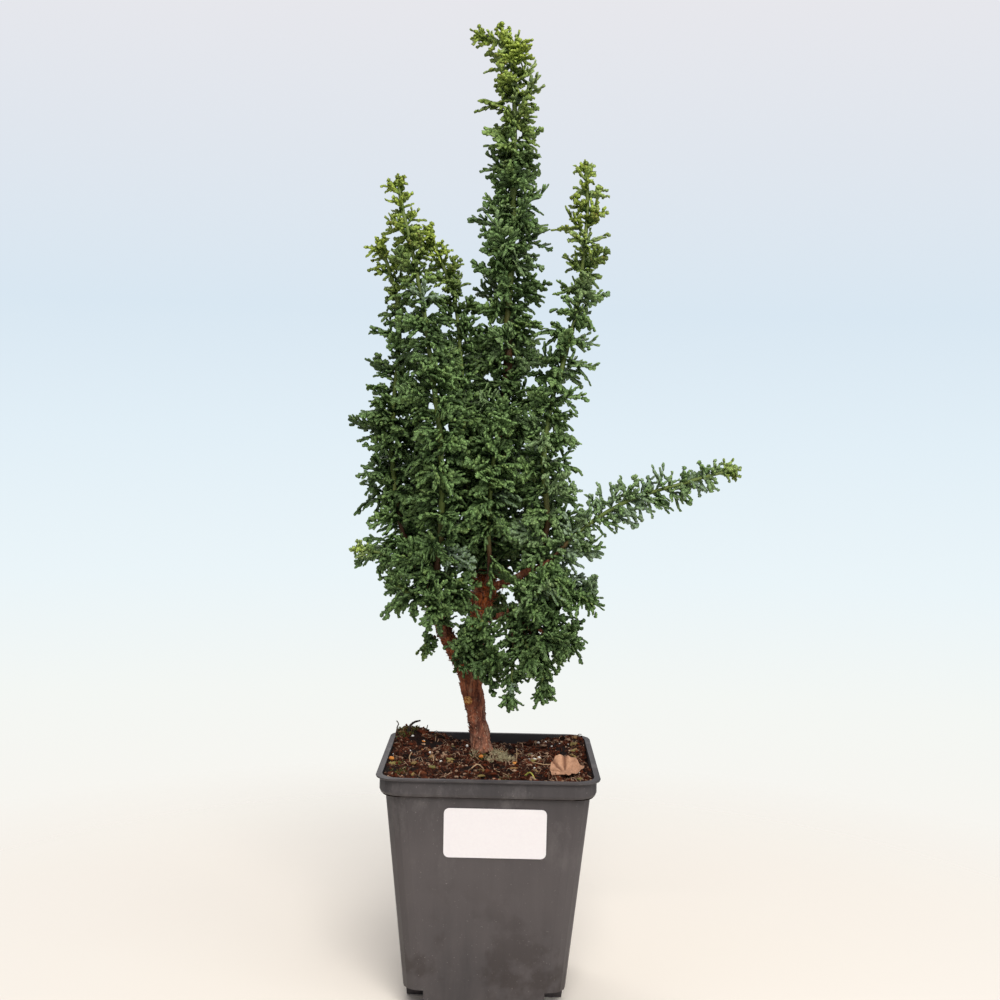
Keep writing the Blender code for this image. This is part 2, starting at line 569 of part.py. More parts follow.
def along(points, share):
    """The place and direction at a share of a path's length."""
    steps = [(b - a).length for a, b in zip(points, points[1:])]
    left = share * sum(steps)
    last = len(steps) - 1
    for i, step in enumerate(steps):
        if left <= step or i == last:
            tangent = (points[i + 1] - points[i]) / step
            return points[i] + tangent * left, tangent
        left -= step


def between(values, share):
    """A value read from evenly spaced ones."""
    place = share * (len(values) - 1)
    low = min(int(place), len(values) - 2)
    return values[low] + (values[low + 1] - values[low]) * (place - low)


def length_of(points):
    return sum((b - a).length for a, b in zip(points, points[1:]))


def spread_vector(tangent):
    """A direction across a stem, to count turns from."""
    axis = Vector((1, 0, 0)) if abs(tangent.x) < 0.8 else Vector((0, 0, 1))
    return (axis - tangent * axis.dot(tangent)).normalized()


def stem_rings(stem):
    """Evenly spaced rings of points along a stem, each turned a little against the last."""
    path = [Vector(point) for point in stem["points"]]
    count = max(round(length_of(path) / RING_STEP), 3)
    middles = [along(path, i / count)[0] for i in range(count + 1)]
    rings = []
    for i, (middle, _, across, up) in enumerate(frames(middles)):
        radius = between(stem["radius"], i / count)
        ring = []
        for j in range(STEM_SIDES):
            angle = 2 * math.pi * (j + RING_TWIST * i) / STEM_SIDES
            ring.append(middle + radius * (math.cos(angle) * across + math.sin(angle) * up))
        rings.append(ring)
    return middles, rings


def stem_mesh(stem):
    """Points and triangles of the bare stem: a flat foot, five sides and a pointed end."""
    middles, rings = stem_rings(stem)
    points = [point for ring in rings for point in ring]
    points.append(middles[-1] + (middles[-1] - middles[-2]).normalized() * TIP_LENGTH)
    faces = [(0, j + 1, j) for j in range(1, STEM_SIDES - 1)]
    for i in range(len(rings) - 1):
        for j in range(STEM_SIDES):
            k = (j + 1) % STEM_SIDES
            low = i * STEM_SIDES
            high = low + STEM_SIDES
            faces.append((low + j, low + k, high + k))
            faces.append((low + j, high + k, high + j))
    top = len(points) - 1
    last = top - STEM_SIDES
    faces += [(last + j, last + (j + 1) % STEM_SIDES, top) for j in range(STEM_SIDES)]
    return points, faces


def spray_seats(stem, points, faces):
    """One triangle of the stem for each spray, going round it, with the spray's own values."""
    rng = random.Random(stem["seed"])
    path = [Vector(point) for point in stem["points"]]
    total = length_of(path)
    count = round(total / stem.get("spacing", SPRAY_SPACING))
    free = {i for i, face in enumerate(faces) if i >= STEM_SIDES - 2}
    centres = {i: sum((points[k] for k in faces[i]), Vector()) / 3 for i in free}
    found = []
    for n in range(count):
        share = (n + 0.5) / count
        middle, tangent = along(path, share)
        across = spread_vector(tangent)
        turn = n * SPRAY_TURN + rng.uniform(-TURN_SPREAD, TURN_SPREAD)
        if rng.random() < stem.get("frond", 0):
            turn = n * math.pi + rng.uniform(-TURN_SPREAD, TURN_SPREAD)
        radial = math.cos(turn) * across + math.sin(turn) * tangent.cross(across)
        wanted = middle + radial * between(stem["radius"], share)
        seat = min(free, key=lambda i: (centres[i] - wanted).length)
        free.discard(seat)
        rise = math.radians(between(stem["rise"], share) + rng.uniform(-RISE_SPREAD, RISE_SPREAD))
        reach = between(stem["reach"], share) * rng.uniform(*REACH_SPREAD)
        found.append(dict(seat=seat, centre=centres[seat], tangent=tangent, radial=radial, rise=rise,
                          length=max(reach / math.cos(rise), SHORTEST_SPRAY), droop=rng.uniform(*DROOP),
                          side=rng.randrange(3), seed=rng.randrange(10**6)))
    return found


def spray_shape(spray, seat_points, degrees, lift, scale, grow):
    """Points and triangles of one spray, raised from three points of the stem.

    The rib has three sides. Two of them carry a row of tapering shoots, so that the spray
    is a flat fan, and the third side stays bare.
    """
    rng = random.Random(spray["seed"])
    length = spray["length"] * scale
    pairs = 3 if length > LONG_SPRAY else 2
    centre = spray["centre"]
    radial = Matrix.Rotation(math.radians(degrees), 3, spray["tangent"]) @ spray["radial"]
    rise = spray["rise"] + math.radians(lift)
    out = math.cos(rise) * radial + math.sin(rise) * spray["tangent"]
    first = seat_points[0] - centre
    first = (first - out * first.dot(out)).normalized()
    second = out.cross(first)
    bend = radial.cross(spray["tangent"]).cross(out) * spray["droop"]
    points = list(seat_points)
    stations = [Vector(centre)]
    for i in range(1, pairs):
        share = i / pairs
        middle = centre + out * length * share - bend * length * share * share
        radius = RIB_RADIUS * between(RIB_TAPER, share) + grow
        for j in range(3):
            angle = 2 * math.pi * j / 3
            points.append(middle + radius * (math.cos(angle) * first + math.sin(angle) * second))
        stations.append(middle)
    points.append(centre + out * (length + grow) - bend * length)
    apex = len(points) - 1
    bare = spray["side"]
    angle = math.pi / 3 + 2 * math.pi * bare / 3
    facing = math.cos(angle) * first + math.sin(angle) * second
    flank = out.cross(facing)
    faces = []
    for i in range(pairs):
        low = 3 * i
        last = i == pairs - 1
        for j in range(3):
            k = (j + 1) % 3
            outline = (low + j, low + k, apex) if last else (low + j, low + k, low + 3 + k, low + 3 + j)
            if j == bare:
                faces += [outline] if last else [outline[:3], (outline[0], outline[2], outline[3])]
                continue
            side = flank if j == (bare + 1) % 3 else -flank
            reach = SHOOT_REACH[0] - SHOOT_REACH[1] * abs(i - SHOOT_PEAK * pairs)
            reach = length * reach * rng.uniform(*SHOOT_SPREAD) + grow
            lean = math.radians(rng.uniform(*SHOOT_LEAN))
            root = sum((points[corner] for corner in outline), Vector()) / len(outline)
            tip = root + reach * (math.cos(lean) * out + math.sin(lean) * side)
            points.append(tip - bend * reach * SHOOT_DROOP)
            new = len(points) - 1
            faces += [(outline[c], outline[(c + 1) % len(outline)], new) for c in range(len(outline))]
    return points, faces


def tree_of(obj):
    """A search tree of an object's faces, in millimetres."""
    points = [vertex.co / MM for vertex in obj.data.vertices]
    faces = [tuple(face.vertices) for face in obj.data.polygons]
    return BVHTree.FromPolygons(points, faces)


def apart(points, faces):
    """A search tree of the triangles, each made a little smaller about its own middle."""
    corners = []
    for face in faces:
        middle = sum((points[i] for i in face), Vector()) / 3
        corners += [middle.lerp(points[i], SHRUNK) for i in face]
    return BVHTree.FromPolygons(corners, [(i, i + 1, i + 2) for i in range(0, len(corners), 3)])


def grow_sprays(stems, wood):
    """Chooses each spray's turn, lift and length so that it crosses no node and no other spray."""
    bare = {name: BVHTree.FromPolygons(*mesh) for name, mesh in stems.items()}
    bare["wood"] = wood
    placed = []
    chosen = {name: [] for name in STEMS}
    for name, stem in STEMS.items():
        points, faces = stems[name]
        for spray in spray_seats(stem, points, faces):
            seat_points = [points[i] for i in faces[spray["seat"]]]
            for attempt in TRIES:
                size = spray["length"] * attempt[2]
                middle = spray["centre"] + spray["radial"] * size / 2
                near = [row for row in placed if (middle - row[1]).length < NEAR * (size + row[2])]
                shape = spray_shape(spray, seat_points, *attempt, CLEARANCE)
                whole = BVHTree.FromPolygons(*shape)
                others = [tree for node, tree in bare.items() if node != name]
                others += [row[3] for row in near if row[0] != name]
                if any(whole.overlap(tree) for tree in others):
                    continue
                final = spray_shape(spray, seat_points, *attempt, 0.0)
                inner = apart(*final)
                own = [row[3] for row in near if row[0] == name]
                if any(i != j for i, j in inner.overlap(BVHTree.FromPolygons(*final))):
                    continue
                if any(j != spray["seat"] for _, j in inner.overlap(bare[name])):
                    continue
                if not any(inner.overlap(tree) for tree in own):
                    placed.append((name, middle, size, BVHTree.FromPolygons(*final)))
                    chosen[name].append((spray["seat"], *final))
                    break
    return chosen


def leafy_mesh(points, faces, sprays):
    """The stem's triangles with each spray in place of the triangle that it grows from."""
    points = list(points)
    seats = {seat for seat, _, _ in sprays}
    made = [face for i, face in enumerate(faces) if i not in seats]
    for seat, spray_points, spray_faces in sprays:
        shift = len(points) - 3
        points += spray_points[3:]
        root = faces[seat]
        made += [tuple(root[i] if i < 3 else i + shift for i in face) for face in spray_faces]
    return points, made


def build_foliage(wood):
    green = material("foliage", (0.045, 0.12, 0.035), 0.6)
    stems = {name: stem_mesh(stem) for name, stem in STEMS.items()}
    for name, sprays in grow_sprays(stems, tree_of(wood)).items():
        object_from(name, *leafy_mesh(*stems[name], sprays), green)


def leaf_point(along_leaf, side):
    """A place on the leaf: 0 to 1 from its stalk to its tip, and -1 to 1 across it."""
    width = LEAF_HALF_WIDTH * math.sin(math.pi * (0.12 + 0.8 * along_leaf))
    rise = LEAF_RISE * side + LEAF_HOLLOW * side * side
    wave = LEAF_WAVE * math.sin(7 * along_leaf + 2 * side)
    return LEAF_LENGTH * (along_leaf - 0.5), width * side, rise + wave


def build_leaf():
    """A dry crumpled leaf on the soil, raised at its back edge."""
    tan = material("dry_leaf", (0.42, 0.23, 0.13), 0.8)
    rows = 6
    columns = 4
    points = []
    for face in (0.5, -0.5):
        for i in range(rows + 1):
            for j in range(columns + 1):
                x, y, z = leaf_point(i / rows, 2 * j / columns - 1)
                points.append((x, y, z + face * LEAF_THICKNESS))
    count = (rows + 1) * (columns + 1)
    top = []
    for i in range(rows):
        for j in range(columns):
            a = i * (columns + 1) + j
            b = a + columns + 1
            top += [(a, b, b + 1), (a, b + 1, a + 1)]
    rim = [i * (columns + 1) for i in range(rows + 1)]
    rim += [rows * (columns + 1) + j for j in range(1, columns + 1)]
    rim += [i * (columns + 1) + columns for i in range(rows - 1, -1, -1)]
    rim += list(range(columns - 1, 0, -1))
    faces = top + [tuple(count + i for i in reversed(face)) for face in top]
    for i, j in zip(rim, rim[1:] + rim[:1]):
        faces += [(i, count + i, count + j), (i, count + j, j)]
    leaf = object_from("dead_leaf", points, faces, tan)
    turn = Matrix.Rotation(math.radians(LEAF_TURN), 4, "Z")
    lowest = min(
        (turn @ Vector(point)).z - soil_height(*((turn @ Vector(point)).xy + Vector(LEAF_CENTRE)))
        for point in points
    )
    leaf.location = Vector((*LEAF_CENTRE, TOUCH_GAP - lowest)) * MM
    leaf.rotation_euler = turn.to_euler()
    return leaf


def build_twig():
    """A dark curled twig that stands in the mound of soil."""
    dark = material("dark_twig", (0.03, 0.025, 0.022), 0.8)
    foot = soil_height(TWIG[0][0], TWIG[0][1])
    points = [Vector((x, y, foot + z)) for x, y, z in TWIG]
    radii = [TWIG_RADIUS * share for share in (1.0, 1.0, 0.9, 0.8, 0.6)]
    return tube("twig", points, radii, 6, dark)


def main():
    clear_scene()
    build_pot()
    build_label()
    build_soil()
    wood = build_wood()
    build_foliage(wood)
    build_leaf()
    build_twig()


main()
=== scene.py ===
"""The looks of a young hinoki cypress in a square plastic nursery pot.

Lengths are millimetres and become metres where a mesh is made. The tables of the wood and of
the leafy stems are those of the solids, and each fine fan grows where a solid one does.
"""

import math
import random

import bmesh
import bpy
import numpy as np
from mathutils import Matrix, Vector, noise
from mathutils.bvhtree import BVHTree


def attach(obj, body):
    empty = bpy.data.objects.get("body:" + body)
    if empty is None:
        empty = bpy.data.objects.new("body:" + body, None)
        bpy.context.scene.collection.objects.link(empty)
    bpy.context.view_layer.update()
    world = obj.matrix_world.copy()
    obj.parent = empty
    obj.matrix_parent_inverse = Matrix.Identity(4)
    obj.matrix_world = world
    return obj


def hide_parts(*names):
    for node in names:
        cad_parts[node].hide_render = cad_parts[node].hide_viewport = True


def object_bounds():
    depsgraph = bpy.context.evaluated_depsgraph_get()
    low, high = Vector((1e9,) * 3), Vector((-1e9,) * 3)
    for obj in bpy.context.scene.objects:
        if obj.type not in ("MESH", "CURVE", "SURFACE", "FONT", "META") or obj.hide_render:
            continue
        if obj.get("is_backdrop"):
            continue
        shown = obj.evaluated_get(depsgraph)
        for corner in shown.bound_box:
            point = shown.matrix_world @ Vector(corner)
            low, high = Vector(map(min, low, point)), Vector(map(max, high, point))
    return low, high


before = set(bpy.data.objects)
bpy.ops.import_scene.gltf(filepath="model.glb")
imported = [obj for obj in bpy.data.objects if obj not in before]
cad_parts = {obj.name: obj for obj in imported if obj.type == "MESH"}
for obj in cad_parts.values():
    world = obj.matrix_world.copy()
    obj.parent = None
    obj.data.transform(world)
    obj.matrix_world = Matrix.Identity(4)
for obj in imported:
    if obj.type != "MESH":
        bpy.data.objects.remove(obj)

MM = 0.001

# The wood: points and radius of the trunk and of each limb, from its root to its end
TRUNK = ((-3.6, 14, 95, 5.2), (-3.8, 14, 117, 5.7), (-4.8, 14, 124, 5.2), (-6.4, 14, 133, 4.9),
         (-8.2, 14, 143, 5.1), (-10.1, 13.8, 152, 5.6), (-11.6, 13.2, 159, 5.0))
LIMBS = {
    "left_fork": ((-10.6, 13.5, 154, 4.5), (-15, 12, 165, 4.3), (-19.5, 10, 173, 3.9),
                  (-23.5, 8, 180, 3.6), (-27, 6, 188, 3.3), (-30.5, 4.5, 196, 2.9),
                  (-32.3, 2.6, 203, 2.4), (-32.3, 0.6, 208, 2.0)),
    "main": ((-9.4, 14, 151, 4.4), (-8.2, 15.5, 164, 4.2), (-7.2, 17, 178, 4.0),
             (-6.6, 18, 190, 4.8), (-5.6, 18, 200, 5.1), (-4.2, 18, 208, 4.4), (-3.2, 18, 216, 3.6)),
    "to_right_mass": ((-6.2, 17, 190, 2.3), (2, 10, 191, 1.9), (8.5, 4, 192.5, 1.8),
                      (14, -2, 195, 1.7), (20, -8, 200.5, 1.5)),
    "to_right_leader": ((-4.6, 17, 204, 2.6), (4, 12, 208, 2.2), (13, 4, 213, 2.0),
                        (18, -1, 217, 1.9), (20.5, -3, 220.5, 1.7)),
    "to_lateral": ((16.5, 0.5, 216, 1.6), (23.5, -7.5, 219.5, 1.4), (28.5, -13, 223, 1.3)),
    "to_right_low": ((15.5, -3.5, 196, 1.4), (20, -6.5, 194.6, 1.2), (25, -8, 193, 1.1)),
    "to_hanging_near": ((8.5, 4, 192.5, 1.4), (10.2, -2, 189.5, 1.2), (11, -6, 186, 1.1)),
    "to_hanging_far": ((13.5, -1.5, 194.6, 1.4), (17, -6, 190.6, 1.2), (19, -9, 187, 1.1)),
    "to_front_clump": ((-8, 15, 167, 1.7), (-8, 6, 170.5, 1.4), (-9, -1, 174.5, 1.1)),
    "to_front_clump_right": ((-8, 8, 169.6, 1.4), (-6.6, 3, 171.4, 1.2), (-5, -1, 173, 1.1)),
    "to_front_clump_top": ((-8, 8, 169.6, 1.4), (-7.6, 3, 174, 1.2), (-7, -1.2, 178, 1.1)),
    "to_tuft": ((-23.5, 8, 180, 1.5), (-26.5, 4, 181.2, 1.2), (-28.4, 1.6, 181.6, 1.0)),
    "to_outer": ((-31, 4.4, 198, 2.4), (-37, 6, 207, 2.0), (-41.5, 7, 216, 1.8)),
    "to_left_tip": ((-38.6, 6.4, 210, 1.4), (-42.4, 4.2, 213.6, 1.2), (-45.4, 2.6, 216.4, 1.1)),
    "to_left_skirt": ((-30, 4.6, 195, 1.6), (-33, 1.2, 197.4, 1.3), (-35.4, -2.4, 199.4, 1.2)),
    "to_inner": ((-6, 17, 200, 2.3), (-9, 13, 206, 1.9), (-10.7, 10.5, 212, 1.7)),
    "to_front_leader": ((-4.6, 17, 205, 2.1), (-3, 9, 210, 1.6), (-2, 2, 214, 1.4)),
    "to_back_leader": ((-4.4, 18, 206, 2.4), (-6, 26, 212, 1.8), (-7, 32, 218, 1.6)),
    "to_back_right": ((-3.8, 18, 210, 2.2), (4, 24.6, 214.6, 1.6), (9, 28, 218, 1.5)),
    "to_back_left": ((-32, 3.4, 200, 2.0), (-35, 12, 205, 1.6), (-37, 18.5, 210, 1.5)),
    "to_back_low": ((-6.4, 19, 191, 2.0), (-5.4, 24, 192.6, 1.4), (-5, 27, 193.6, 1.2)),
    "to_mass_front": ((14, -2, 195, 1.5), (15, -9, 197.4, 1.2), (16, -14, 200.4, 1.1)),
    "to_mass_back": ((2.5, 9.6, 191.1, 1.5), (8, 12, 194, 1.2), (13, 13, 197.6, 1.1)),
    "to_low_front": ((20, -6.5, 194.6, 1.2), (23, -12, 190.4, 1.1), (25, -16, 187.4, 1.0)),
    "to_left_low": ((-22, 8.8, 177, 1.6), (-24, 1, 183, 1.3), (-25, -4, 187.6, 1.1)),
    "to_between": ((-26.4, 6.2, 186.6, 1.5), (-24.6, 1, 192, 1.3), (-22.8, -3.2, 196.7, 1.1)),
    "to_under": ((12.4, -0.4, 194, 1.4), (14, -5.4, 190.8, 1.2), (15.5, -9.3, 187.4, 1.1)),
}
TRUNK_SIDES = 16
LIMB_SIDES = 10

# Each leafy stem: its points, its first and last radius, how far its sprays reach at even
# shares of its length, how many degrees they rise at its foot and tip, and a seed. With a
# frond of 1 the sprays stand on two sides, and without one they stand all round
STEMS = {
    "leader_main": dict(
        points=((-3.1, 18, 216.9), (-0.6, 18, 238.8), (1.6, 18, 257.4), (3.6, 17, 289.2), (5.5, 16, 324.4),
                (4.8, 15, 355.6), (5.9, 14, 375.3), (6.4, 14, 401.2), (6.2, 13, 421.7), (6.1, 12, 439.5),
                (6.0, 11, 459.7), (6.0, 10, 473.5), (3.4, 8, 483.2), (-3.6, 6, 488.4), (-13.4, 5, 489.2)),
        radius=(3.5, 0.9), reach=(22, 25, 25, 24, 21, 20, 17, 14, 5), rise=(5, 50), seed=11),
    "leader_left": dict(
        points=((-32.2, -0.6, 209.0), (-29, -6, 218), (-26.8, -11, 234), (-26.7, -14, 263.1),
                (-28.2, -14, 286.8), (-31.6, -14, 309.4), (-35.2, -13, 333.5), (-38.6, -12, 353.6),
                (-41.4, -11, 366.2), (-44.8, -10, 381.3), (-49.2, -9, 397.9), (-52.1, -8, 413.0)),
        radius=(1.9, 0.9), reach=(20, 22, 22, 20, 19, 17, 12, 10, 4), rise=(-15, 50), seed=12),
    "leader_inner": dict(
        points=((-11.0, 10.0, 213.0), (-12.3, 8.5, 232), (-13.5, 8, 256), (-15.6, 8, 283.5),
                (-18.3, 8, 314.7), (-20.5, 9, 340.6), (-22.9, 10, 356.2), (-27.8, 10, 369.9),
                (-32.7, 9, 381.5), (-37.9, 6, 390.8)),
        radius=(1.6, 0.9), reach=(20, 20, 20, 19, 17, 15, 12, 10, 6), rise=(0, 50), seed=13),
    "leader_outer": dict(
        points=((-42.0, 7.1, 217.0), (-46.4, 8, 230), (-51.6, 9, 251.4), (-54.8, 10, 277.5),
                (-53.6, 9, 303.6), (-51.4, 8, 329.5), (-51.0, 7, 343.9), (-53.8, 6, 360.2),
                (-57.5, 4, 372.3), (-62, 3, 383.3)),
        radius=(1.7, 0.9), reach=(20, 27, 27, 25, 18, 13, 11, 9, 6), rise=(-10, 50), seed=14),
    "leader_right": dict(
        points=((21.0, -3.3, 221.4), (25, -5.4, 231), (27.7, -7, 241), (26.3, -8, 255), (24.4, -8, 270.1),
                (25.4, -7, 286), (28.4, -6, 306), (33, -6, 322), (39.1, -5, 345.8), (42.4, -5, 374),
                (44.1, -5, 399), (43.8, -5, 412), (42.5, -5, 422.6)),
        radius=(1.6, 0.9), reach=(23, 22, 21, 18, 17, 15, 13, 11, 4), rise=(-5, 50), seed=15),
    "lateral_right": dict(
        points=((29.4, -13.8, 223.7), (36.5, -17.8, 232.3), (43.4, -19, 239.1), (51.6, -21, 245.9),
                (59.9, -22, 251.2), (69.6, -24, 256.5), (81.7, -26, 260.8), (92.4, -27, 264.0),
                (102.6, -28, 267.3), (117.5, -30, 271.8)),
        radius=(1.2, 0.8), spacing=2.9, reach=(14, 12, 10, 8, 5), rise=(42, 50), frond=1, seed=16),
    "leader_front": dict(
        points=((-1.8, 1.0, 214.8), (-2, -6, 224), (-3, -10, 240), (-2, -12, 260), (0, -12, 282),
                (3, -11, 302)),
        radius=(1.3, 0.9), spacing=3.2, reach=(17, 20, 19, 17, 8), rise=(-20, 50), seed=17),
    "leader_back": dict(
        points=((-7.2, 32.7, 218.9), (-9, 38, 235), (-11, 40, 258), (-12, 40, 285), (-12, 38, 312),
                (-11, 36, 338)),
        radius=(1.5, 0.9), reach=(20, 21, 20, 15, 6), rise=(-10, 50), seed=18),
    "leader_back_right": dict(
        points=((9.9, 28.6, 218.6), (16, 32, 232), (20, 34, 252), (22, 34, 275), (23, 32, 300)),
        radius=(1.4, 0.9), reach=(18, 20, 18, 14, 6), rise=(-15, 50), seed=19),
    "leader_back_left": dict(
        points=((-37.4, 19.4, 210.9), (-40, 26, 225), (-42, 29, 246), (-43, 30, 270), (-42, 29, 295),
                (-40, 27, 320)),
        radius=(1.4, 0.9), reach=(18, 19, 18, 14, 6), rise=(-15, 50), seed=20),
    "mass_right_upper": dict(
        points=((20.9, -8.8, 201.2), (30, -13, 205.4), (40, -15, 207.6), (49, -13, 208)),
        radius=(1.4, 0.9), spacing=1.5, reach=(15, 16, 15, 12, 7), rise=(35, 45), seed=21),
    "mass_right_lower": dict(
        points=((26.0, -8.4, 192.6), (32.8, -11.6, 187.4), (39.0, -12.6, 183.4), (43.6, -12, 180.6)),
        radius=(1.0, 0.9), spacing=1.5, reach=(13, 15, 13, 10, 6), rise=(35, 45), seed=22),
    "mass_right_front": dict(
        points=((16.4, -14.9, 201.1), (20, -21, 206), (26, -25, 211), (33, -26, 216)),
        radius=(1.0, 0.9), spacing=1.6, reach=(12, 14, 13, 11, 7), rise=(30, 45), seed=31),
    "mass_right_back": dict(
        points=((13.9, 13.2, 198.4), (22, 13, 204), (32, 11, 208), (41, 8, 210)),
        radius=(1.0, 0.9), spacing=2.2, reach=(12, 14, 13, 11, 7), rise=(30, 45), seed=32),
    "mass_right_foot": dict(
        points=((25.6, -16.8, 186.8), (30.5, -21.5, 182.4), (35, -24, 179.6)),
        radius=(0.9, 0.8), spacing=1.6, reach=(10, 13, 12, 9, 6), rise=(35, 45), seed=33),
    "mass_right_under": dict(
        points=((15.9, -10.1, 186.8), (17.8, -14, 181), (19.6, -18.6, 174.6), (20.6, -21, 168.6)),
        radius=(0.9, 0.8), spacing=1.8, reach=(10, 13, 12, 10, 6), rise=(35, 45), seed=36),
    "hanging_near": dict(
        points=((11.2, -6.9, 185.2), (11.4, -13, 175), (10.8, -17, 163), (10.1, -19, 151)),
        radius=(1.0, 0.8), spacing=2.3, reach=(9, 10, 8, 6, 4), rise=(35, 45), frond=0.6, seed=23),
    "hanging_far": dict(
        points=((19.5, -9.7, 186.1), (24.4, -15, 177), (26.4, -17.6, 166.4), (26.7, -18.6, 155)),
        radius=(1.0, 0.8), spacing=2.0, reach=(10, 12, 10, 8, 4), rise=(35, 45), frond=0.6, seed=24),
    "clump_front_left": dict(
        points=((-9.4, -1.9, 175.0), (-12.6, -8, 178.2), (-14.9, -12, 182.4)),
        radius=(1.0, 0.9), spacing=1.3, reach=(13, 14, 12, 10, 6), rise=(30, 45), seed=25),
    "clump_front_right": dict(
        points=((-4.6, -1.9, 173.0), (-1, -8.6, 171.6), (3.6, -14, 170.4)),
        radius=(1.0, 0.9), spacing=1.3, reach=(13, 15, 14, 12, 8), rise=(30, 45), seed=26),
    "clump_front_top": dict(
        points=((-6.7, -2.0, 178.6), (-6.6, -7.4, 182.8), (-6, -11.6, 187.6), (-4.8, -14, 192)),
        radius=(1.0, 0.9), spacing=1.5, reach=(12, 14, 13, 11, 7), rise=(30, 45), seed=37),
    "clump_left": dict(
        points=((-25.2, -4.9, 188.5), (-27, -11, 196), (-29.4, -16, 203.6)),
        radius=(1.0, 0.9), spacing=1.5, reach=(5, 9, 13, 12, 8), rise=(30, 45), seed=34),
    "clump_between": dict(
        points=((-22.4, -4.0, 197.4), (-20, -7.6, 202), (-17.6, -9.6, 207.2), (-16.4, -10, 212.4)),
        radius=(1.0, 0.9), spacing=1.6, reach=(11, 14, 13, 11, 7), rise=(30, 45), seed=35),
    "tuft_left": dict(
        points=((-29.3, 0.8, 181.4), (-32.6, -1.6, 178.4), (-34.6, -2.8, 173.4)),
        radius=(0.9, 0.8), spacing=2.0, reach=(4, 5, 5, 4, 3), rise=(35, 45), frond=0.5, seed=27),
    "left_tip": dict(
        points=((-46.3, 2.2, 217.2), (-53, 0.2, 222.0), (-61, -1.8, 225.0), (-70, -4, 226.4)),
        radius=(1.0, 0.8), spacing=3.0, reach=(7, 5, 4, 3.5, 3), rise=(40, 50), frond=0.8, seed=28),
    "skirt_left": dict(
        points=((-36.0, -3.3, 199.9), (-41.4, -8.4, 203.6), (-46.8, -10.6, 207.2), (-51.6, -9.6, 211)),
        radius=(1.1, 0.9), spacing=1.6, reach=(12, 14, 12, 9, 5), rise=(32, 45), seed=29),
    "skirt_back": dict(
        points=((-4.8, 28.1, 193.9), (-2.6, 35, 196), (1, 41, 198.6)),
        radius=(1.1, 0.9), spacing=2.2, reach=(12, 14, 13, 10, 7), rise=(32, 45), seed=30),
}
STEM_SIDES = 5
RING_STEP = 6.0
RING_TWIST = 0.37
TIP_LENGTH = 4.0

# The sprays: flat fans of tapering shoots, raised from the stem's triangles
SPRAY_SPACING = 3.95
SPRAY_TURN = math.radians(137.5)
TURN_SPREAD = 0.3
RISE_SPREAD = 10.0
REACH_SPREAD = (0.72, 1.1)
DROOP = (-0.05, 0.3)
SHORTEST_SPRAY = 4.0
LONG_SPRAY = 19.0
RIB_RADIUS = 0.9
RIB_TAPER = (1.15, 0.75)
SHOOT_REACH = (0.47, 0.11)
SHOOT_PEAK = 0.4
SHOOT_SPREAD = (0.85, 1.15)
SHOOT_LEAN = (40, 58)
SHOOT_DROOP = 0.4
# Each try at placing a spray: degrees round the stem, degrees of lift, and share of its length
TRIES = ((0, 0, 1.0), (22, 0, 1.0), (-22, 0, 1.0), (0, 24, 1.0), (0, -24, 1.0), (40, 12, 0.92),
         (-40, 12, 0.92), (60, -18, 0.85), (-60, -18, 0.85), (85, 22, 0.8), (-85, 22, 0.8),
         (10, 0, 0.7), (-30, 15, 0.7), (30, -15, 0.6), (0, 20, 0.5), (0, 0, 0.4))
CLEARANCE = 0.3
SHRUNK = 0.97
NEAR = 0.8

# The fine foliage: the shoots' size, and how many rings and sides each kind has
SHOOT_WIDTH = 2.4
SHOOT_FLATNESS = 0.6
KNOB = 0.28
SPANS = {"rib": 5, "side": 4, "small": 2}
SIDES = {"rib": 4, "side": 3, "small": 3}
# A shoot's width from its first ring to its last, and the share of its length where that one lies
SHOOT_PROFILE = ((0, 0.2, 0.6, 0.86, 1), (0.6, 0.86, 1.0, 1.1, 0.86))
LAST_RING = 0.94
# A fan's rib: its width, sideways sway, length and hollow, and how far old and young fans sag
RIB_WIDTH = (0.9, 1.08)
RIB_SWAY = 0.14
RIB_SHARE = 0.88
RIB_CUP = 0.6
CUP = (-0.08, 0.3)
SAG = 0.12
YOUNG_SAG = 0.05
# Its side shoots: their spacing and places, and their lean and reach, each with its value at
# the fan's foot and how much less it is at the tip, and the ranges of their random parts
SIDE_STEP = 2.3
FEWEST_SIDES = 3
SIDE_FROM = 0.07
SIDE_STRETCH = 0.78
SIDE_SHIFT = 0.035
SIDE_LEAN = (60, 30)
SIDE_LEAN_SPREAD = 12
SIDE_REACH = (0.46, 0.17)
REACH_RANGE = (0.75, 1.2)
SHORTEST_SIDE = 1.9
SIDE_ROLL = (-0.2, 0.8)
SIDE_LIFT = (-0.38, 0.3)
SIDE_CURL = (0.05, 0.42)
SIDE_BEND = 0.4
SIDE_WIDTH = (0.86, 1.04)
YOUTH_SPREAD = 0.12
TONE_SPREAD = 0.15
# The small shoots on a side shoot: the place and side of each, and their reach in the same way
SMALL_PLACES = ((0.32, 1), (0.54, -1), (0.74, 1))
SMALL_FROM_REACH = 3.4
LAST_SMALL_PLACE = 0.7
LAST_SMALL_REACH = 6.0
SMALL_TURN = (30, 60)
SMALL_LIFT = (-0.5, 0.4)
SMALL_REACH = (0.72, 0.36)
SMALL_CURL = 0.3
SMALL_WIDTH = (0.84, 1.0)
SHORTEST_SMALL = 1.8
SMALL_TIPS = (0.3, 0.97)
SMALL_TONE_SPREAD = 0.1
# The length from which a tilted or filling fan has small shoots, longer for the stems at the back
SMALL_SHOOTS_FROM = 8.0
BACK_SMALL_SHOOTS_FROM = 13.0
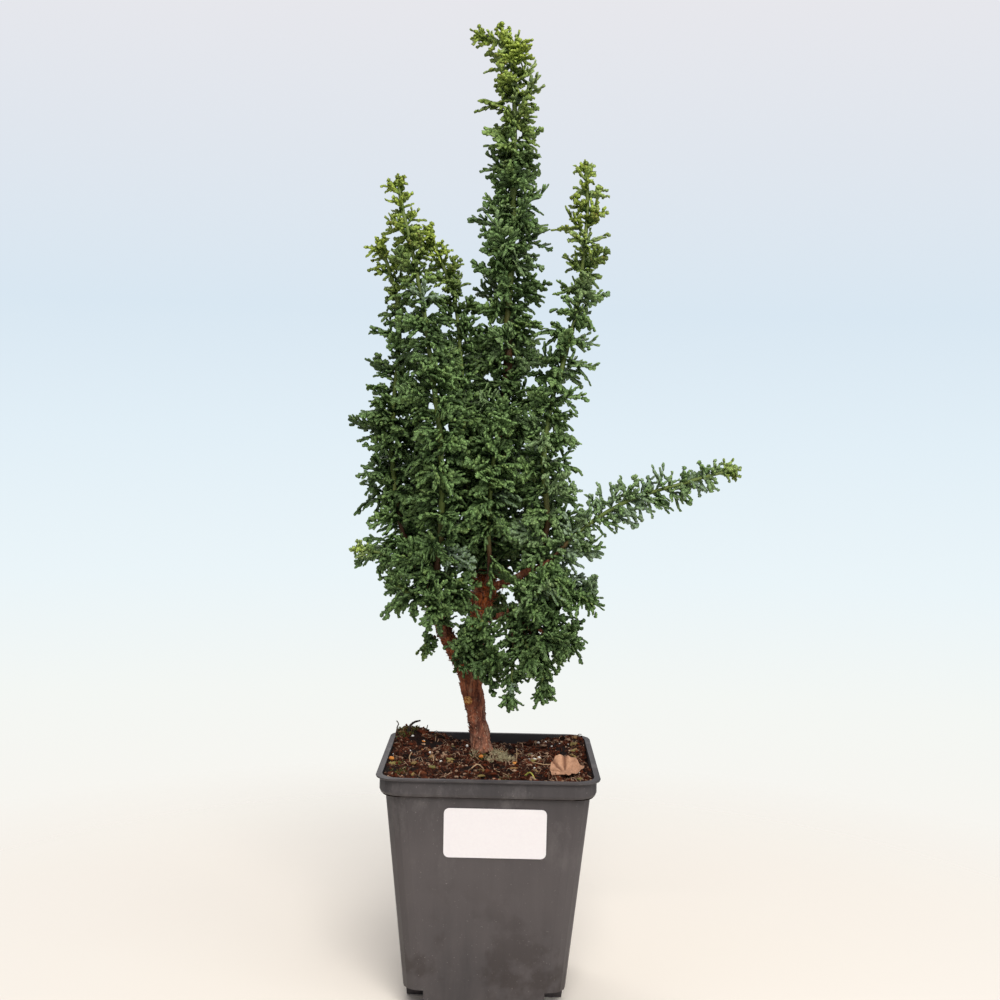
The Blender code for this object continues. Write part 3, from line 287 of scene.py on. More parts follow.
# The fan along a solid spray, and the two tilted ones beside it
MAIN_FAN = 0.9
TILTED_LENGTH = (0.5, 0.66)
TILT = (30, 60)
TILTED_PLACE = (0.1, 0.36)
TILTED_ROLL = 35
TILTED_BEND = 1.5
# The short fans that fill a stem: their spacing, turn, lift and length
FILL_STEP = 1.95
FILL_STEPS = {"leader_right": 2.9}
FILL_TURN = 1.7
FILL_RISE = (0, 55)
FILL_REACH = 0.78
LONGEST_FILL = 15.0
FILL_LENGTH = (0.7, 1.05)
FILL_ROLL = 70
FILL_BEND = 0.16
FILL_SEAT = 0.6
TIP_FANS = 5
TIP_SPREAD = 0.12
TIP_STEP = 1.5
# How far a short fan's turn round its stem or limb strays, in radians
FAN_TURN_SPREAD = 0.5
# The green stem's own tube
STALK_RING_STEP = 2.2
STALK_SIDES = 8
STALK_KNOBS = 0.12
# How often a stem's fans show a grey-white bloom, and how strong it is
BLOOM = {"mass_right_front": 0.25, "mass_right_upper": 0.15, "lateral_right": 0.45,
         "clump_front_right": 0.12, "mass_right_under": 0.15, "leader_right": 0.06, "clump_front_top": 0.15}
RARE_BLOOM = 0.02
BLOOM_STRENGTH = (0.4, 1.0)
# The stems with paler fans among the others, and the share of their fans that are not pale
NOT_PALE = {"lateral_right": 0.1, "leader_right": 0.55, "left_tip": 0.4, "mass_right_front": 0.75,
            "leader_main": 0.85}
PALE_TONE = (0.0, 0.3)
USUAL_TONE = (0.3, 1.0)
# The stems that hang low on the right, whose fans are all darker: painted shade, as they hang in the shadow
# under the crown
PAINTED_SHADE_STEMS = ("mass_right_under", "mass_right_lower", "mass_right_foot", "hanging_near", "hanging_far")
PAINTED_SHADE_TONE = (0.65, 1.0)
# The share of its length at which a stem's new growth begins, and over which it takes over
YOUNG_FROM = {"leader_main": 0.66, "leader_left": 0.66, "leader_inner": 0.68, "leader_outer": 0.7,
              "leader_right": 0.6, "lateral_right": 0.82, "left_tip": 0.6, "tuft_left": 0.9}
NEVER_YOUNG = 2.0
YOUNG_SPAN = 0.3
# The limbs that carry short fans of their own, with how many each has and how long they are
LEAFY_LIMBS = {"to_hanging_near": 9, "to_hanging_far": 9, "to_under": 9, "to_right_low": 9,
               "to_mass_front": 8, "to_low_front": 7, "to_front_clump": 6, "to_front_clump_right": 6,
               "to_front_clump_top": 6, "to_mass_back": 5, "to_right_mass": 14}
LIMB_FAN_LENGTH = (5.0, 9.5)
# The shares of a stem below and above which only its solid sprays carry fans, so that the fork shows
BARE_FOOT = {"leader_front": 0.22, "leader_main": 0.02}
BARE_TIP = {"clump_front_top": 0.6, "clump_between": 0.75}
# The fans that fill the crown of the tallest stem, where it bends over
CROWN_FANS = 16
CROWN_STRETCH = (0.88, 0.97)
CROWN_LENGTH = (5.5, 9.0)
# The share of its length up to which a stem is brown
BROWN_TO = {"leader_main": 0.35, "leader_left": 0.04, "leader_inner": 0.12, "leader_outer": 0.1,
            "leader_right": 0.05, "lateral_right": 0.05}

# The wood's mesh, its bark and the scar of a cut branch
WOOD_VOXEL = 0.75
WOOD_EASING = 3
PATH_STEP = 2.0
SHARDS = 2500
SHARD_POINTS = 9
SHARD_SPREAD = 0.5
SHARD_LIFT = (0.15, 1.0)
SHARD_HALF_THICKNESS = 0.16
SHARD_SINK = 0.25
SHARD_LENGTH = (1.3, 3.6)
SHARD_WIDTH = (0.45, 1.1)
SCAR_PLACE = (-11.7, 9.7, 146.5)
SCAR_FACING = (-0.54, -0.84, 0.1)
SCAR_RADIUS = 2.3
SCAR_SIDES = 18
SCAR_DEPTH = 1.6
SCAR_MIDDLE = 0.7
# The scar's rings: the share of its radius and the height of each
SCAR_RINGS = ((1.0, -1.6), (1.1, 0.5), (0.92, 1.25), (0.72, 0.8), (0.4, 1.2), (0.15, 0.8))

# The soil: the solids' values, the crust's mesh and what lies on it
SOIL_LEVEL = 117.6
SOIL_HALF = 51.7
SOIL_CORNER = 9.2
TRUNK_X = -3.8
TRUNK_Y = 14.0
CRUST_CELLS = 116
CRUST_BOTTOM = 110.5
# The relief over which the crust's pits go from painted shade to none
CRUST_RELIEF = (-0.9, 1.9)
CRUMBS = 1500
CRUMB_SIZE = (0.35, 1.0)
CLOD_SIZE = (1.0, 2.0)
CLOD_SQUASH = (0.3, 0.7)
CLOD_EVERY = 9
FIBRES = 1150
FIBRE_STEPS = 5
FIBRE_LENGTH = (2.0, 7.5)
FIBRE_RADIUS = (0.1, 0.27)
LITTER = 34
LITTER_LENGTH = (1.6, 3.2)
PERLITE_SIZE = (0.7, 1.15)
SMALL_PERLITE = 30
SMALL_PERLITE_SIZE = (0.3, 0.6)
PELLET_SIZE = (1.0, 1.5)
# Where the larger grains, the feed pellets and some of the fallen shoots lie
PERLITE = ((-41.8, 30.5), (-31.3, 8.3), (-24.7, -8.9), (20.8, 0.2), (23.8, -2.3), (25.9, -1.2),
           (22.1, 14.8), (26.5, 33.0), (30.5, 36.0), (-11.9, 12.7))
PELLETS = ((-36.0, 26.2), (-36.0, 17.2), (-50.2, -9.4), (13.4, -8.6), (-4.3, 0.8), (6.5, 10.7))
FLAKES = ((-48.2, -17.0), (-43.3, -14.2), (-20.5, -10.8), (-18.6, -4.9), (44.2, 21.9), (42.8, 14.7),
          (46.8, 42.2), (-49.5, 38.2), (-37.7, -36.2))
# Patches of moss and lichen: place, reach and how many blades
MOSS = ((-46, 37, 7, 520), (-5, 1, 4.5, 330), (-45, -32, 5, 170), (-46, -14, 3, 90), (8, -44, 4, 80))
LICHEN = ((5.5, 4.5, 4.4, 200), (8.5, -3, 4.6, 190), (1, -4, 3.4, 90), (-8, 6, 2, 30))
# Loose strands: the points of each, with its height above the soil, and its radius
ROOTLETS = ((((2.6, -13.7, 0.6), (3.2, -25.5, 1.6), (5.8, -31.9, 0.8), (11.2, -41.6, 0.5)), 0.32),
            (((-9.4, -24.4, 0.5), (-5.4, -20.9, 1.4), (-1.0, -25.0, 0.4)), 0.34),
            (((-31.0, 4.0, 0.5), (-29.0, -6.0, 1.6), (-28.0, -14.0, 0.4)), 0.35),
            (((-40.5, 2.0, 0.4), (-41.0, -9.0, 1.8), (-40.0, -17.0, 0.4)), 0.3),
            (((14.0, 8.0, 4.5), (14.4, 6.5, 2.5), (14.2, -6.5, 0.4)), 0.25),
            (((22.0, -12.0, 0.5), (28.0, -15.0, 1.2), (32.0, -12.0, 0.5)), 0.3))
YELLOW_CURLS = ((((18.0, -34.0, 0.6), (20.6, -35.9, 2.0), (22.6, -40.2, 1.0), (21.8, -45.2, 0.6)), 0.45),)
MOSS_TWIGS = ((((-50.0, 36.0, 0.2), (-51.0, 37.0, 3.8), (-50.2, 37.6, 6.0), (-51.4, 38.6, 6.6)), 0.4),
              (((-36.0, 38.0, 0.2), (-35.0, 38.6, 2.6), (-34.4, 39.4, 4.4)), 0.35),
              (((-47.5, 30.0, 0.2), (-49.8, 28.0, 2.2), (-50.6, 27.0, 1.8)), 0.35),
              (((47.0, 42.0, 0.6), (49.0, 43.4, 1.6), (50.4, 44.0, 3.0)), 0.3))
# The dry leaf: its place and size, how it rises and hollows, and how many cells its mesh has
LEAF_CENTRE = (39.0, -34.0)
LEAF_ROWS = 60
LEAF_COLUMNS = 36
LEAF_HALF_THICKNESS = 0.14
LEAF_SINK = 0.3
LEAF_LENGTH = 17.0
LEAF_HALF_WIDTH = 6.1
LEAF_TURN = -12.0
LEAF_RISE = 2.6
LEAF_HOLLOW = 1.5
LEAF_WAVE = 0.4
# The leaf's half width from its stalk to its tip, and the pleats that spread from its front edge
LEAF_OUTLINE = ((0, 0.3), (0.03, 0.62), (0.08, 0.86), (0.18, 1.0), (0.34, 1.04), (0.52, 1.0), (0.66, 0.86),
                (0.77, 0.62), (0.85, 0.36), (0.91, 0.2), (0.96, 0.13), (1.0, 0.03))
LEAF_PLEAT_ROOT = 0.5
LEAF_PLEATS = 6.5
LEAF_PLEAT_DEPTH = 1.5
TWIG = ((-44.5, 34, -3.0), (-44.5, 34, 1.0), (-43.8, 34.6, 4.2), (-41.6, 35.6, 6.2), (-38.4, 36.6, 7.0))
TWIG_RADIUS = 0.75
TWIG_TAPER = (1.0, 1.0, 0.9, 0.8, 0.6)

# The photograph's camera, in metres
CAMERA_PLACE = (0.0044, -0.7091, 0.2853)
CAMERA_AHEAD = (-0.0023, 0.999, -0.0456)
CAMERA_RIGHT = (0.9998, 0.0032, 0.0213)
LENS = 49.507
SENSOR_WIDTH = 36.0

# The studio, in metres: the floor, the light of its surroundings and its soft lamps
FLOOR_REACH = 5.0
FLOOR_SIDES = 64
LAMP_TARGET = (0, 0, 0.25)
FLOOR_DROP = -0.0004
FLOOR_FADE = (0.08, 0.5)
SKY_LIGHT = 0.41
# The surroundings' colour by the height of a direction, from -1 straight down to 1 straight up
SKY_STOPS = ((-0.3, (250, 245, 238)), (-0.18, (244, 247, 244)), (-0.1, (235, 245, 249)),
             (0.0, (226, 239, 247)), (0.09, (217, 231, 242)), (0.2, (224, 230, 238)), (0.3, (231, 231, 236)))
SKY_LOW = -0.35
SKY_HIGH = 0.35
LAMPS = (("key", (0.2, -1.2, 1.4), 0.75, 22.0, (1.0, 0.98, 0.95)),
         ("fill", (1.1, -0.9, 0.6), 0.9, 5.0, (0.96, 0.98, 1.0)),
         ("back", (-0.4, 1.1, 1.2), 0.9, 7.0, (1.0, 1.0, 1.0)))


def hump(x, y, centre_x, centre_y, spread_x, spread_y):
    return math.exp(-(((x - centre_x) / spread_x) ** 2) - ((y - centre_y) / spread_y) ** 2)


def soil_height(x, y):
    """Height of the soil: a mound at the back left, a dip along the back wall."""
    z = SOIL_LEVEL
    z += 7.0 * hump(x, y, -42, 40, 15, 13)
    z += 2.6 * hump(x, y, 42, 40, 16, 14)
    z -= 5.0 * hump(x, y, 4, 50, 26, 11)
    z -= 3.2 * hump(x, y, 52, 2, 9, 15)
    z += 1.2 * hump(x, y, TRUNK_X, TRUNK_Y, 12, 10)
    z += 0.7 * math.sin(0.31 * x + 1.3) * math.sin(0.37 * y + 0.4)
    z += 0.45 * math.sin(0.83 * x - 0.6 * y) + 0.35 * math.cos(0.9 * y + 0.5 * x)
    return z


def frames(points):
    """A tangent and two directions across it at each point of a path."""
    found = []
    across = Vector((1.0, 0.0, 0.0))
    for i, point in enumerate(points):
        before = points[max(i - 1, 0)]
        after = points[min(i + 1, len(points) - 1)]
        tangent = (after - before).normalized()
        across = across - tangent * across.dot(tangent)
        if across.length < 0.1:
            across = tangent.orthogonal()
        across.normalize()
        found.append((point, tangent, across.copy(), tangent.cross(across)))
    return found


def along(points, share):
    """The place and direction at a share of a path's length."""
    steps = [(b - a).length for a, b in zip(points, points[1:])]
    left = share * sum(steps)
    last = len(steps) - 1
    for i, step in enumerate(steps):
        if left <= step or i == last:
            tangent = (points[i + 1] - points[i]) / step
            return points[i] + tangent * left, tangent
        left -= step


def between(values, share):
    """A value read from evenly spaced ones."""
    place = share * (len(values) - 1)
    low = min(int(place), len(values) - 2)
    return values[low] + (values[low + 1] - values[low]) * (place - low)


def length_of(points):
    return sum((b - a).length for a, b in zip(points, points[1:]))


def spread_vector(tangent):
    """A direction across a stem, to count turns from."""
    axis = Vector((1, 0, 0)) if abs(tangent.x) < 0.8 else Vector((0, 0, 1))
    return (axis - tangent * axis.dot(tangent)).normalized()


def outward(tangent, turn):
    """The direction out of a stem at a turn round it."""
    across = spread_vector(tangent)
    return math.cos(turn) * across + math.sin(turn) * tangent.cross(across)


def stem_rings(stem):
    """Evenly spaced rings of points along a stem, each turned a little against the last."""
    path = [Vector(point) for point in stem["points"]]
    count = max(round(length_of(path) / RING_STEP), 3)
    middles = [along(path, i / count)[0] for i in range(count + 1)]
    rings = []
    for i, (middle, _, across, up) in enumerate(frames(middles)):
        radius = between(stem["radius"], i / count)
        ring = []
        for j in range(STEM_SIDES):
            angle = 2 * math.pi * (j + RING_TWIST * i) / STEM_SIDES
            ring.append(middle + radius * (math.cos(angle) * across + math.sin(angle) * up))
        rings.append(ring)
    return middles, rings


def stem_mesh(stem):
    """Points and triangles of the bare stem: a flat foot, five sides and a pointed end."""
    middles, rings = stem_rings(stem)
    points = [point for ring in rings for point in ring]
    points.append(middles[-1] + (middles[-1] - middles[-2]).normalized() * TIP_LENGTH)
    faces = [(0, j + 1, j) for j in range(1, STEM_SIDES - 1)]
    for i in range(len(rings) - 1):
        for j in range(STEM_SIDES):
            k = (j + 1) % STEM_SIDES
            low = i * STEM_SIDES
            high = low + STEM_SIDES
            faces.append((low + j, low + k, high + k))
            faces.append((low + j, high + k, high + j))
    top = len(points) - 1
    last = top - STEM_SIDES
    faces += [(last + j, last + (j + 1) % STEM_SIDES, top) for j in range(STEM_SIDES)]
    return points, faces


def spray_seats(stem, points, faces):
    """One triangle of the stem for each spray, going round it, with the spray's own values."""
    rng = random.Random(stem["seed"])
    path = [Vector(point) for point in stem["points"]]
    total = length_of(path)
    count = round(total / stem.get("spacing", SPRAY_SPACING))
    free = set(range(STEM_SIDES - 2, len(faces)))
    centres = {i: sum((points[k] for k in faces[i]), Vector()) / 3 for i in free}
    found = []
    for n in range(count):
        share = (n + 0.5) / count
        middle, tangent = along(path, share)
        turn = n * SPRAY_TURN + rng.uniform(-TURN_SPREAD, TURN_SPREAD)
        if rng.random() < stem.get("frond", 0):
            turn = n * math.pi + rng.uniform(-TURN_SPREAD, TURN_SPREAD)
        radial = outward(tangent, turn)
        wanted = middle + radial * between(stem["radius"], share)
        seat = min(free, key=lambda i: (centres[i] - wanted).length)
        free.discard(seat)
        rise = math.radians(between(stem["rise"], share) + rng.uniform(-RISE_SPREAD, RISE_SPREAD))
        reach = between(stem["reach"], share) * rng.uniform(*REACH_SPREAD)
        found.append(dict(seat=seat, centre=centres[seat], tangent=tangent, radial=radial, rise=rise,
                          length=max(reach / math.cos(rise), SHORTEST_SPRAY), droop=rng.uniform(*DROOP),
                          side=rng.randrange(3), seed=rng.randrange(10**6)))
    return found


def spray_frame(spray, seat_points, attempt):
    """The directions of a solid spray, its bend and its length, at one of its tries.

    The first direction runs along the rib and the next two stand across it. Of the last two,
    flank lies in the fan's flat and facing stands off it.
    """
    degrees, lift, scale = attempt
    radial = Matrix.Rotation(math.radians(degrees), 3, spray["tangent"]) @ spray["radial"]
    rise = spray["rise"] + math.radians(lift)
    out = math.cos(rise) * radial + math.sin(rise) * spray["tangent"]
    first = seat_points[0] - spray["centre"]
    first = (first - out * first.dot(out)).normalized()
    second = out.cross(first)
    bend = radial.cross(spray["tangent"]).cross(out) * spray["droop"]
    angle = math.pi / 3 + 2 * math.pi * spray["side"] / 3
    facing = math.cos(angle) * first + math.sin(angle) * second
    return out, first, second, out.cross(facing), facing, bend, spray["length"] * scale


def spray_shape(spray, seat_points, attempt, grow):
    """Points and triangles of one solid spray, raised from three points of the stem.

    The rib has three sides. Two of them carry a row of tapering shoots, so that the spray
    is a flat fan, and the third side stays bare.
    """
    rng = random.Random(spray["seed"])
    out, first, second, flank, _, bend, length = spray_frame(spray, seat_points, attempt)
    pairs = 3 if length > LONG_SPRAY else 2
    centre = spray["centre"]
    points = list(seat_points)
    for i in range(1, pairs):
        share = i / pairs
        middle = centre + out * length * share - bend * length * share * share
        radius = RIB_RADIUS * between(RIB_TAPER, share) + grow
        for j in range(3):
            angle = 2 * math.pi * j / 3
            points.append(middle + radius * (math.cos(angle) * first + math.sin(angle) * second))
    points.append(centre + out * (length + grow) - bend * length)
    apex = len(points) - 1
    bare = spray["side"]
    faces = []
    for i in range(pairs):
        low = 3 * i
        last = i == pairs - 1
        for j in range(3):
            k = (j + 1) % 3
            outline = (low + j, low + k, apex) if last else (low + j, low + k, low + 3 + k, low + 3 + j)
            if j == bare:
                faces += [outline] if last else [outline[:3], (outline[0], outline[2], outline[3])]
                continue
            side = flank if j == (bare + 1) % 3 else -flank
            reach = SHOOT_REACH[0] - SHOOT_REACH[1] * abs(i - SHOOT_PEAK * pairs)
            reach = length * reach * rng.uniform(*SHOOT_SPREAD) + grow
            lean = math.radians(rng.uniform(*SHOOT_LEAN))
            root = sum((points[corner] for corner in outline), Vector()) / len(outline)
            tip = root + reach * (math.cos(lean) * out + math.sin(lean) * side)
            points.append(tip - bend * reach * SHOOT_DROOP)
            new = len(points) - 1
            faces += [(outline[c], outline[(c + 1) % len(outline)], new) for c in range(len(outline))]
    return points, faces


def apart(points, faces):
    """A search tree of the triangles, each made a little smaller about its own middle."""
    corners = []
    for face in faces:
        middle = sum((points[i] for i in face), Vector()) / 3
        corners += [middle.lerp(points[i], SHRUNK) for i in face]
    return BVHTree.FromPolygons(corners, [(i, i + 1, i + 2) for i in range(0, len(corners), 3)])


def grow_sprays(stems, wood):
    """Each spray's turn and length, tried in the same order as for the solids."""
    bare = {name: BVHTree.FromPolygons(*mesh) for name, mesh in stems.items()}
    bare["wood"] = wood
    placed = []
    chosen = {name: [] for name in STEMS}
    for name, stem in STEMS.items():
        points, faces = stems[name]
        for spray in spray_seats(stem, points, faces):
            seat_points = [points[i] for i in faces[spray["seat"]]]
            for attempt in TRIES:
                size = spray["length"] * attempt[2]
                middle = spray["centre"] + spray["radial"] * size / 2
                near = [row for row in placed if (middle - row[1]).length < NEAR * (size + row[2])]
                whole = BVHTree.FromPolygons(*spray_shape(spray, seat_points, attempt, CLEARANCE))
                others = [tree for node, tree in bare.items() if node != name]
                others += [row[3] for row in near if row[0] != name]
                if any(whole.overlap(tree) for tree in others):
                    continue
                final = spray_shape(spray, seat_points, attempt, 0.0)
                inner = apart(*final)
                own = [row[3] for row in near if row[0] == name]
                if any(i != j for i, j in inner.overlap(BVHTree.FromPolygons(*final))):
                    continue
                if any(j != spray["seat"] for _, j in inner.overlap(bare[name])):
                    continue
                if not any(inner.overlap(tree) for tree in own):
                    placed.append((name, middle, size, BVHTree.FromPolygons(*final)))
                    chosen[name].append((spray, seat_points, attempt))
                    break
    return chosen


class Shoots:
    """Rows of shoots, kept by kind until they are made into a mesh all at once."""

    def __init__(self):
        self.rows = {kind: [] for kind in SPANS}

    def add(self, kind, start, direction, curl, normal, length, width, tips, look):
        self.rows[kind].append((*start, *direction, *curl, *normal, length, width, *tips, *look))

    def arrays(self):
        return [shoot_arrays(rows, SPANS[kind], SIDES[kind]) for kind, rows in self.rows.items() if rows]


def fan(shoots, rng, base, axes, length, bend, look, small=True):
    """One cupped fan: a rib with alternate side shoots, and short shoots on these.

    The axes run along the rib, across the fan's flat and off it. The look is how young the
    fan is, how dark its tone is and how strong its bloom.
    """
    out, flank, facing = axes
    young, tone, bloom = look
    cup = -facing * rng.uniform(*CUP)
    sag = Vector((0, 0, SAG + (YOUNG_SAG - SAG) * young))
    width = SHOOT_WIDTH * rng.uniform(*RIB_WIDTH)
    rib_curl = flank * rng.uniform(-RIB_SWAY, RIB_SWAY) - bend + cup * RIB_CUP - sag
    shoots.add("rib", base - out, out, rib_curl, facing, length * RIB_SHARE + 1.0, width, (0.0, 1.0), look)
    count = max(FEWEST_SIDES, round(length / SIDE_STEP))
    first_side = rng.choice((-1, 1))
    for i in range(count):
        place = SIDE_FROM + SIDE_STRETCH * i / (count - 1) + rng.uniform(-SIDE_SHIFT, SIDE_SHIFT)
        side = first_side if i % 2 else -first_side
        start = base + length * (out * place + rib_curl * place * place)
        along_rib = (out + 2 * place * rib_curl).normalized()
        lean = SIDE_LEAN[0] - SIDE_LEAN[1] * place + rng.uniform(-SIDE_LEAN_SPREAD, SIDE_LEAN_SPREAD)
        lean = math.radians(lean)
        reach = length * (SIDE_REACH[0] - SIDE_REACH[1] * place) * rng.uniform(*REACH_RANGE)
        reach = max(reach, SHORTEST_SIDE)
        normal = (facing - side * flank * rng.uniform(*SIDE_ROLL)).normalized()
        lift = facing * rng.uniform(*SIDE_LIFT)
        direction = math.cos(lean) * along_rib + math.sin(lean) * side * flank + lift
        curl = rng.uniform(*SIDE_CURL) * along_rib - bend * SIDE_BEND + cup - sag
        reach /= (direction + curl).length
        young_here = young + YOUTH_SPREAD * rng.uniform(-1, 1)
        look_here = (young_here, tone + rng.uniform(-TONE_SPREAD, TONE_SPREAD), bloom)
        tips = (place * 0.4, 0.7 + 0.3 * place)
        shoots.add("side", start, direction, curl, normal, reach, width * rng.uniform(*SIDE_WIDTH), tips,
                   look_here)
        if small and reach >= SMALL_FROM_REACH:
            parent = (start, direction, curl, normal, reach)
            small_shoots(shoots, rng, parent, side, axes, cup, width, look_here)


def small_shoots(shoots, rng, parent, side, axes, cup, width, look):
    """Short shoots on both sides of a side shoot, which is given by its own row of values."""
    start, direction, curl, normal, reach = parent
    _, flank, facing = axes
    young, tone, bloom = look
    for share, turn in SMALL_PLACES:
        if share > LAST_SMALL_PLACE and reach < LAST_SMALL_REACH:
            continue
        forward = (direction + 2 * share * curl).normalized()
        across = normal.cross(forward)
        across *= turn if across.dot(flank) * side > 0 else -turn
        at = start + reach * (direction * share + curl * share * share)
        turned = math.radians(rng.uniform(*SMALL_TURN))
        way = math.cos(turned) * forward + math.sin(turned) * across + facing * rng.uniform(*SMALL_LIFT)
        size = reach * (SMALL_REACH[0] - SMALL_REACH[1] * share) * rng.uniform(*REACH_RANGE)
        size = max(size, SHORTEST_SMALL)
        small_width = width * rng.uniform(*SMALL_WIDTH)
        small_look = (young, tone + rng.uniform(-SMALL_TONE_SPREAD, SMALL_TONE_SPREAD), bloom)
        shoots.add("small", at, way, SMALL_CURL * forward + cup, normal, size, small_width, SMALL_TIPS,
                   small_look)


def shoot_arrays(rows, spans, sides):
    """Points, quads, triangles and tints of all the shoots of one kind."""
    data = np.array(rows)
    start, way, curl, normal = (data[:, None, 3 * i:3 * i + 3] for i in range(4))
    length, width = data[:, None, 12:13], data[:, None, 13:14]
    share = np.linspace(0.0, LAST_RING, spans + 1)[None, :, None]
    middle = start + length * (way * share + curl * share ** 2)
    tangent = way + 2 * share * curl
    tangent = tangent / np.linalg.norm(tangent, axis=2, keepdims=True)
    side = np.cross(np.broadcast_to(normal, tangent.shape), tangent)
    side = side / np.maximum(np.linalg.norm(side, axis=2, keepdims=True), 1e-6)
    up = np.cross(tangent, side)
    body = np.interp(np.linspace(0, 1, spans + 1), *SHOOT_PROFILE)
    knob = np.where(np.arange(spans + 1) % 2, KNOB, -KNOB) * (np.arange(spans + 1) < spans)
    body, knob = body[None, :, None], knob[None, :, None]
    left = side * width / 2 * (body + knob)
    right = -side * width / 2 * (body - knob)
    high = up * width / 2 * SHOOT_FLATNESS * body
    if sides == 4:
        rings = np.stack((middle + left, middle + high, middle + right, middle - high), axis=2)
    else:
        rings = np.stack((middle + left - high * 0.4, middle + high, middle + right - high * 0.4), axis=2)
    count = len(data)
    points = np.concatenate((rings.reshape(count, -1, 3), start + length * (way + curl)), axis=1)
    per = points.shape[1]
    quads = ring_quads(spans + 1, sides)
    top = sides * spans
    tris = [(top + j, top + (j + 1) % sides, per - 1) for j in range(sides)]
    if sides == 4:
        quads.append((0, 3, 2, 1))
    else:
        tris.append((0, 2, 1))
    shift = (np.arange(count) * per)[:, None, None]
    shares = np.append(np.repeat(share[0, :, 0], sides), 1.0)[None, :]
    tips = data[:, 14:15] + (data[:, 15:16] - data[:, 14:15]) * shares
    tint = np.stack((tips, *(np.broadcast_to(data[:, i:i + 1], tips.shape) for i in (16, 17, 18))), axis=2)
    return (points.reshape(-1, 3), (np.array(quads)[None] + shift).reshape(-1, 4),
            (np.array(tris)[None] + shift).reshape(-1, 3), tint.reshape(-1, 4))


def ring_quads(rings, sides):
    """The faces between rings of points that follow each other along a tube."""
    quads = []
    for i in range(rings - 1):
        for j in range(sides):
            k = (j + 1) % sides
            quads.append((i * sides + j, i * sides + k, (i + 1) * sides + k, (i + 1) * sides + j))
    return quads


def end_tris(rings, sides):
    """The triangles that close a tube's first and last ring on two more points."""
    base = rings * sides
    top = (rings - 1) * sides
    tris = [((j + 1) % sides, j, base) for j in range(sides)]
    return tris + [(top + j, top + (j + 1) % sides, base + 1) for j in range(sides)]


def joined(parts):
    """Several (points, quads, triangles, tints) as one."""
    shift = 0
    points, quads, tris, tints = [], [], [], []
    for p, q, t, c in parts:
        points.append(p)
        quads.append(q + shift)
        tris.append(t + shift)
        tints.append(c)
        shift += len(p)
    return np.concatenate(points), np.concatenate(quads), np.concatenate(tris), np.concatenate(tints)


def mesh_object(name, points, quads, tris, tints=None, surfaces=(), smooth=True, slots=None):
    """A mesh piece from arrays in millimetres."""
    mesh = bpy.data.meshes.new(name)
    mesh.vertices.add(len(points))
    mesh.vertices.foreach_set("co", (np.asarray(points, float) * MM).ravel())
    corners = np.concatenate((quads.ravel(), tris.ravel())).astype(np.int32)
    sizes = np.concatenate((np.full(len(quads), 4), np.full(len(tris), 3))).astype(np.int32)
    mesh.loops.add(len(corners))
    mesh.loops.foreach_set("vertex_index", corners)
    mesh.polygons.add(len(sizes))
    mesh.polygons.foreach_set("loop_start", np.concatenate(([0], np.cumsum(sizes)[:-1])).astype(np.int32))
    if smooth:
        mesh.polygons.foreach_set("use_smooth", np.ones(len(sizes), bool))
    if slots is not None:
        mesh.polygons.foreach_set("material_index", slots.astype(np.int32))
    if tints is not None:
        layer = mesh.attributes.new("tint", "FLOAT_COLOR", "POINT")
        layer.data.foreach_set("color", np.clip(tints, 0, 1).astype(np.float32).ravel())
    mesh.update(calc_edges=True)
    mesh.validate()
    for surface in surfaces:
        mesh.materials.append(surface)
    made = bpy.data.objects.new(name, mesh)
    bpy.context.scene.collection.objects.link(made)
    return made


def tube_arrays(middles, radii, sides, tint, knobs=0.0, rng=None):
    """A closed tube with pointed ends as arrays; tint gives its four values at each ring."""
    middles = [Vector(m) for m in middles]
    radii = [float(radius) for radius in radii]
    ring_points = []
    for i, ((middle, _, across, up), radius) in enumerate(zip(frames(middles), radii)):
        for j in range(sides):
            angle = 2 * math.pi * j / sides + 0.3 * i * (knobs > 0)
            r = radius * (1 + (rng.uniform(-knobs, knobs) if rng else 0.0))
            ring_points.append(middle + r * (math.cos(angle) * across + math.sin(angle) * up))
    first = middles[0] - (middles[1] - middles[0]).normalized() * radii[0] * 0.4
    last = middles[-1] + (middles[-1] - middles[-2]).normalized() * radii[-1] * 0.8
    points = np.array([tuple(p) for p in ring_points] + [tuple(first), tuple(last)])
    rings = len(middles)
    values = np.repeat(np.array([tint(i / (rings - 1)) for i in range(rings)]), sides, axis=0)
    values = np.concatenate((values, values[:1], values[-1:]))
    return points, np.array(ring_quads(rings, sides)), np.array(end_tris(rings, sides)), values


def smoothstep(low, high, value):
    share = min(max((value - low) / (high - low), 0.0), 1.0)
    return share * share * (3 - 2 * share)


class Stem:
    """One leafy stem: its path, its random draws, its shoots and how its fans look."""

    def __init__(self, name):
        self.name = name
        self.values = STEMS[name]
        self.rng = random.Random(self.values["seed"] * 7 + 1)
        self.path = [Vector(point) for point in self.values["points"]]
        self.length = length_of(self.path)
        self.shoots = Shoots()
        self.fine_from = BACK_SMALL_SHOOTS_FROM if name.startswith("leader_back") else SMALL_SHOOTS_FROM

    def youth(self, share):
        start = YOUNG_FROM.get(self.name, NEVER_YOUNG)
        return smoothstep(start, start + YOUNG_SPAN, share)

    def bloom(self):
        blooms = self.rng.random() < BLOOM.get(self.name, RARE_BLOOM)
        return self.rng.uniform(*BLOOM_STRENGTH) if blooms else 0.0

    def tone(self):
        """How dark a fan is, from 0 for the palest to 1 for the darkest."""
        # The low hanging stems take only dark tones, which paint the shade they hang in
        if self.name in PAINTED_SHADE_STEMS:
            return self.rng.uniform(*PAINTED_SHADE_TONE)
        pale = self.name in NOT_PALE and self.rng.random() > NOT_PALE[self.name]
        return self.rng.uniform(*(PALE_TONE if pale else USUAL_TONE))

    def bare(self, share):
        """Whether only the solid sprays carry fans here."""
        return share < BARE_FOOT.get(self.name, 0.0) or share > BARE_TIP.get(self.name, 1.0)


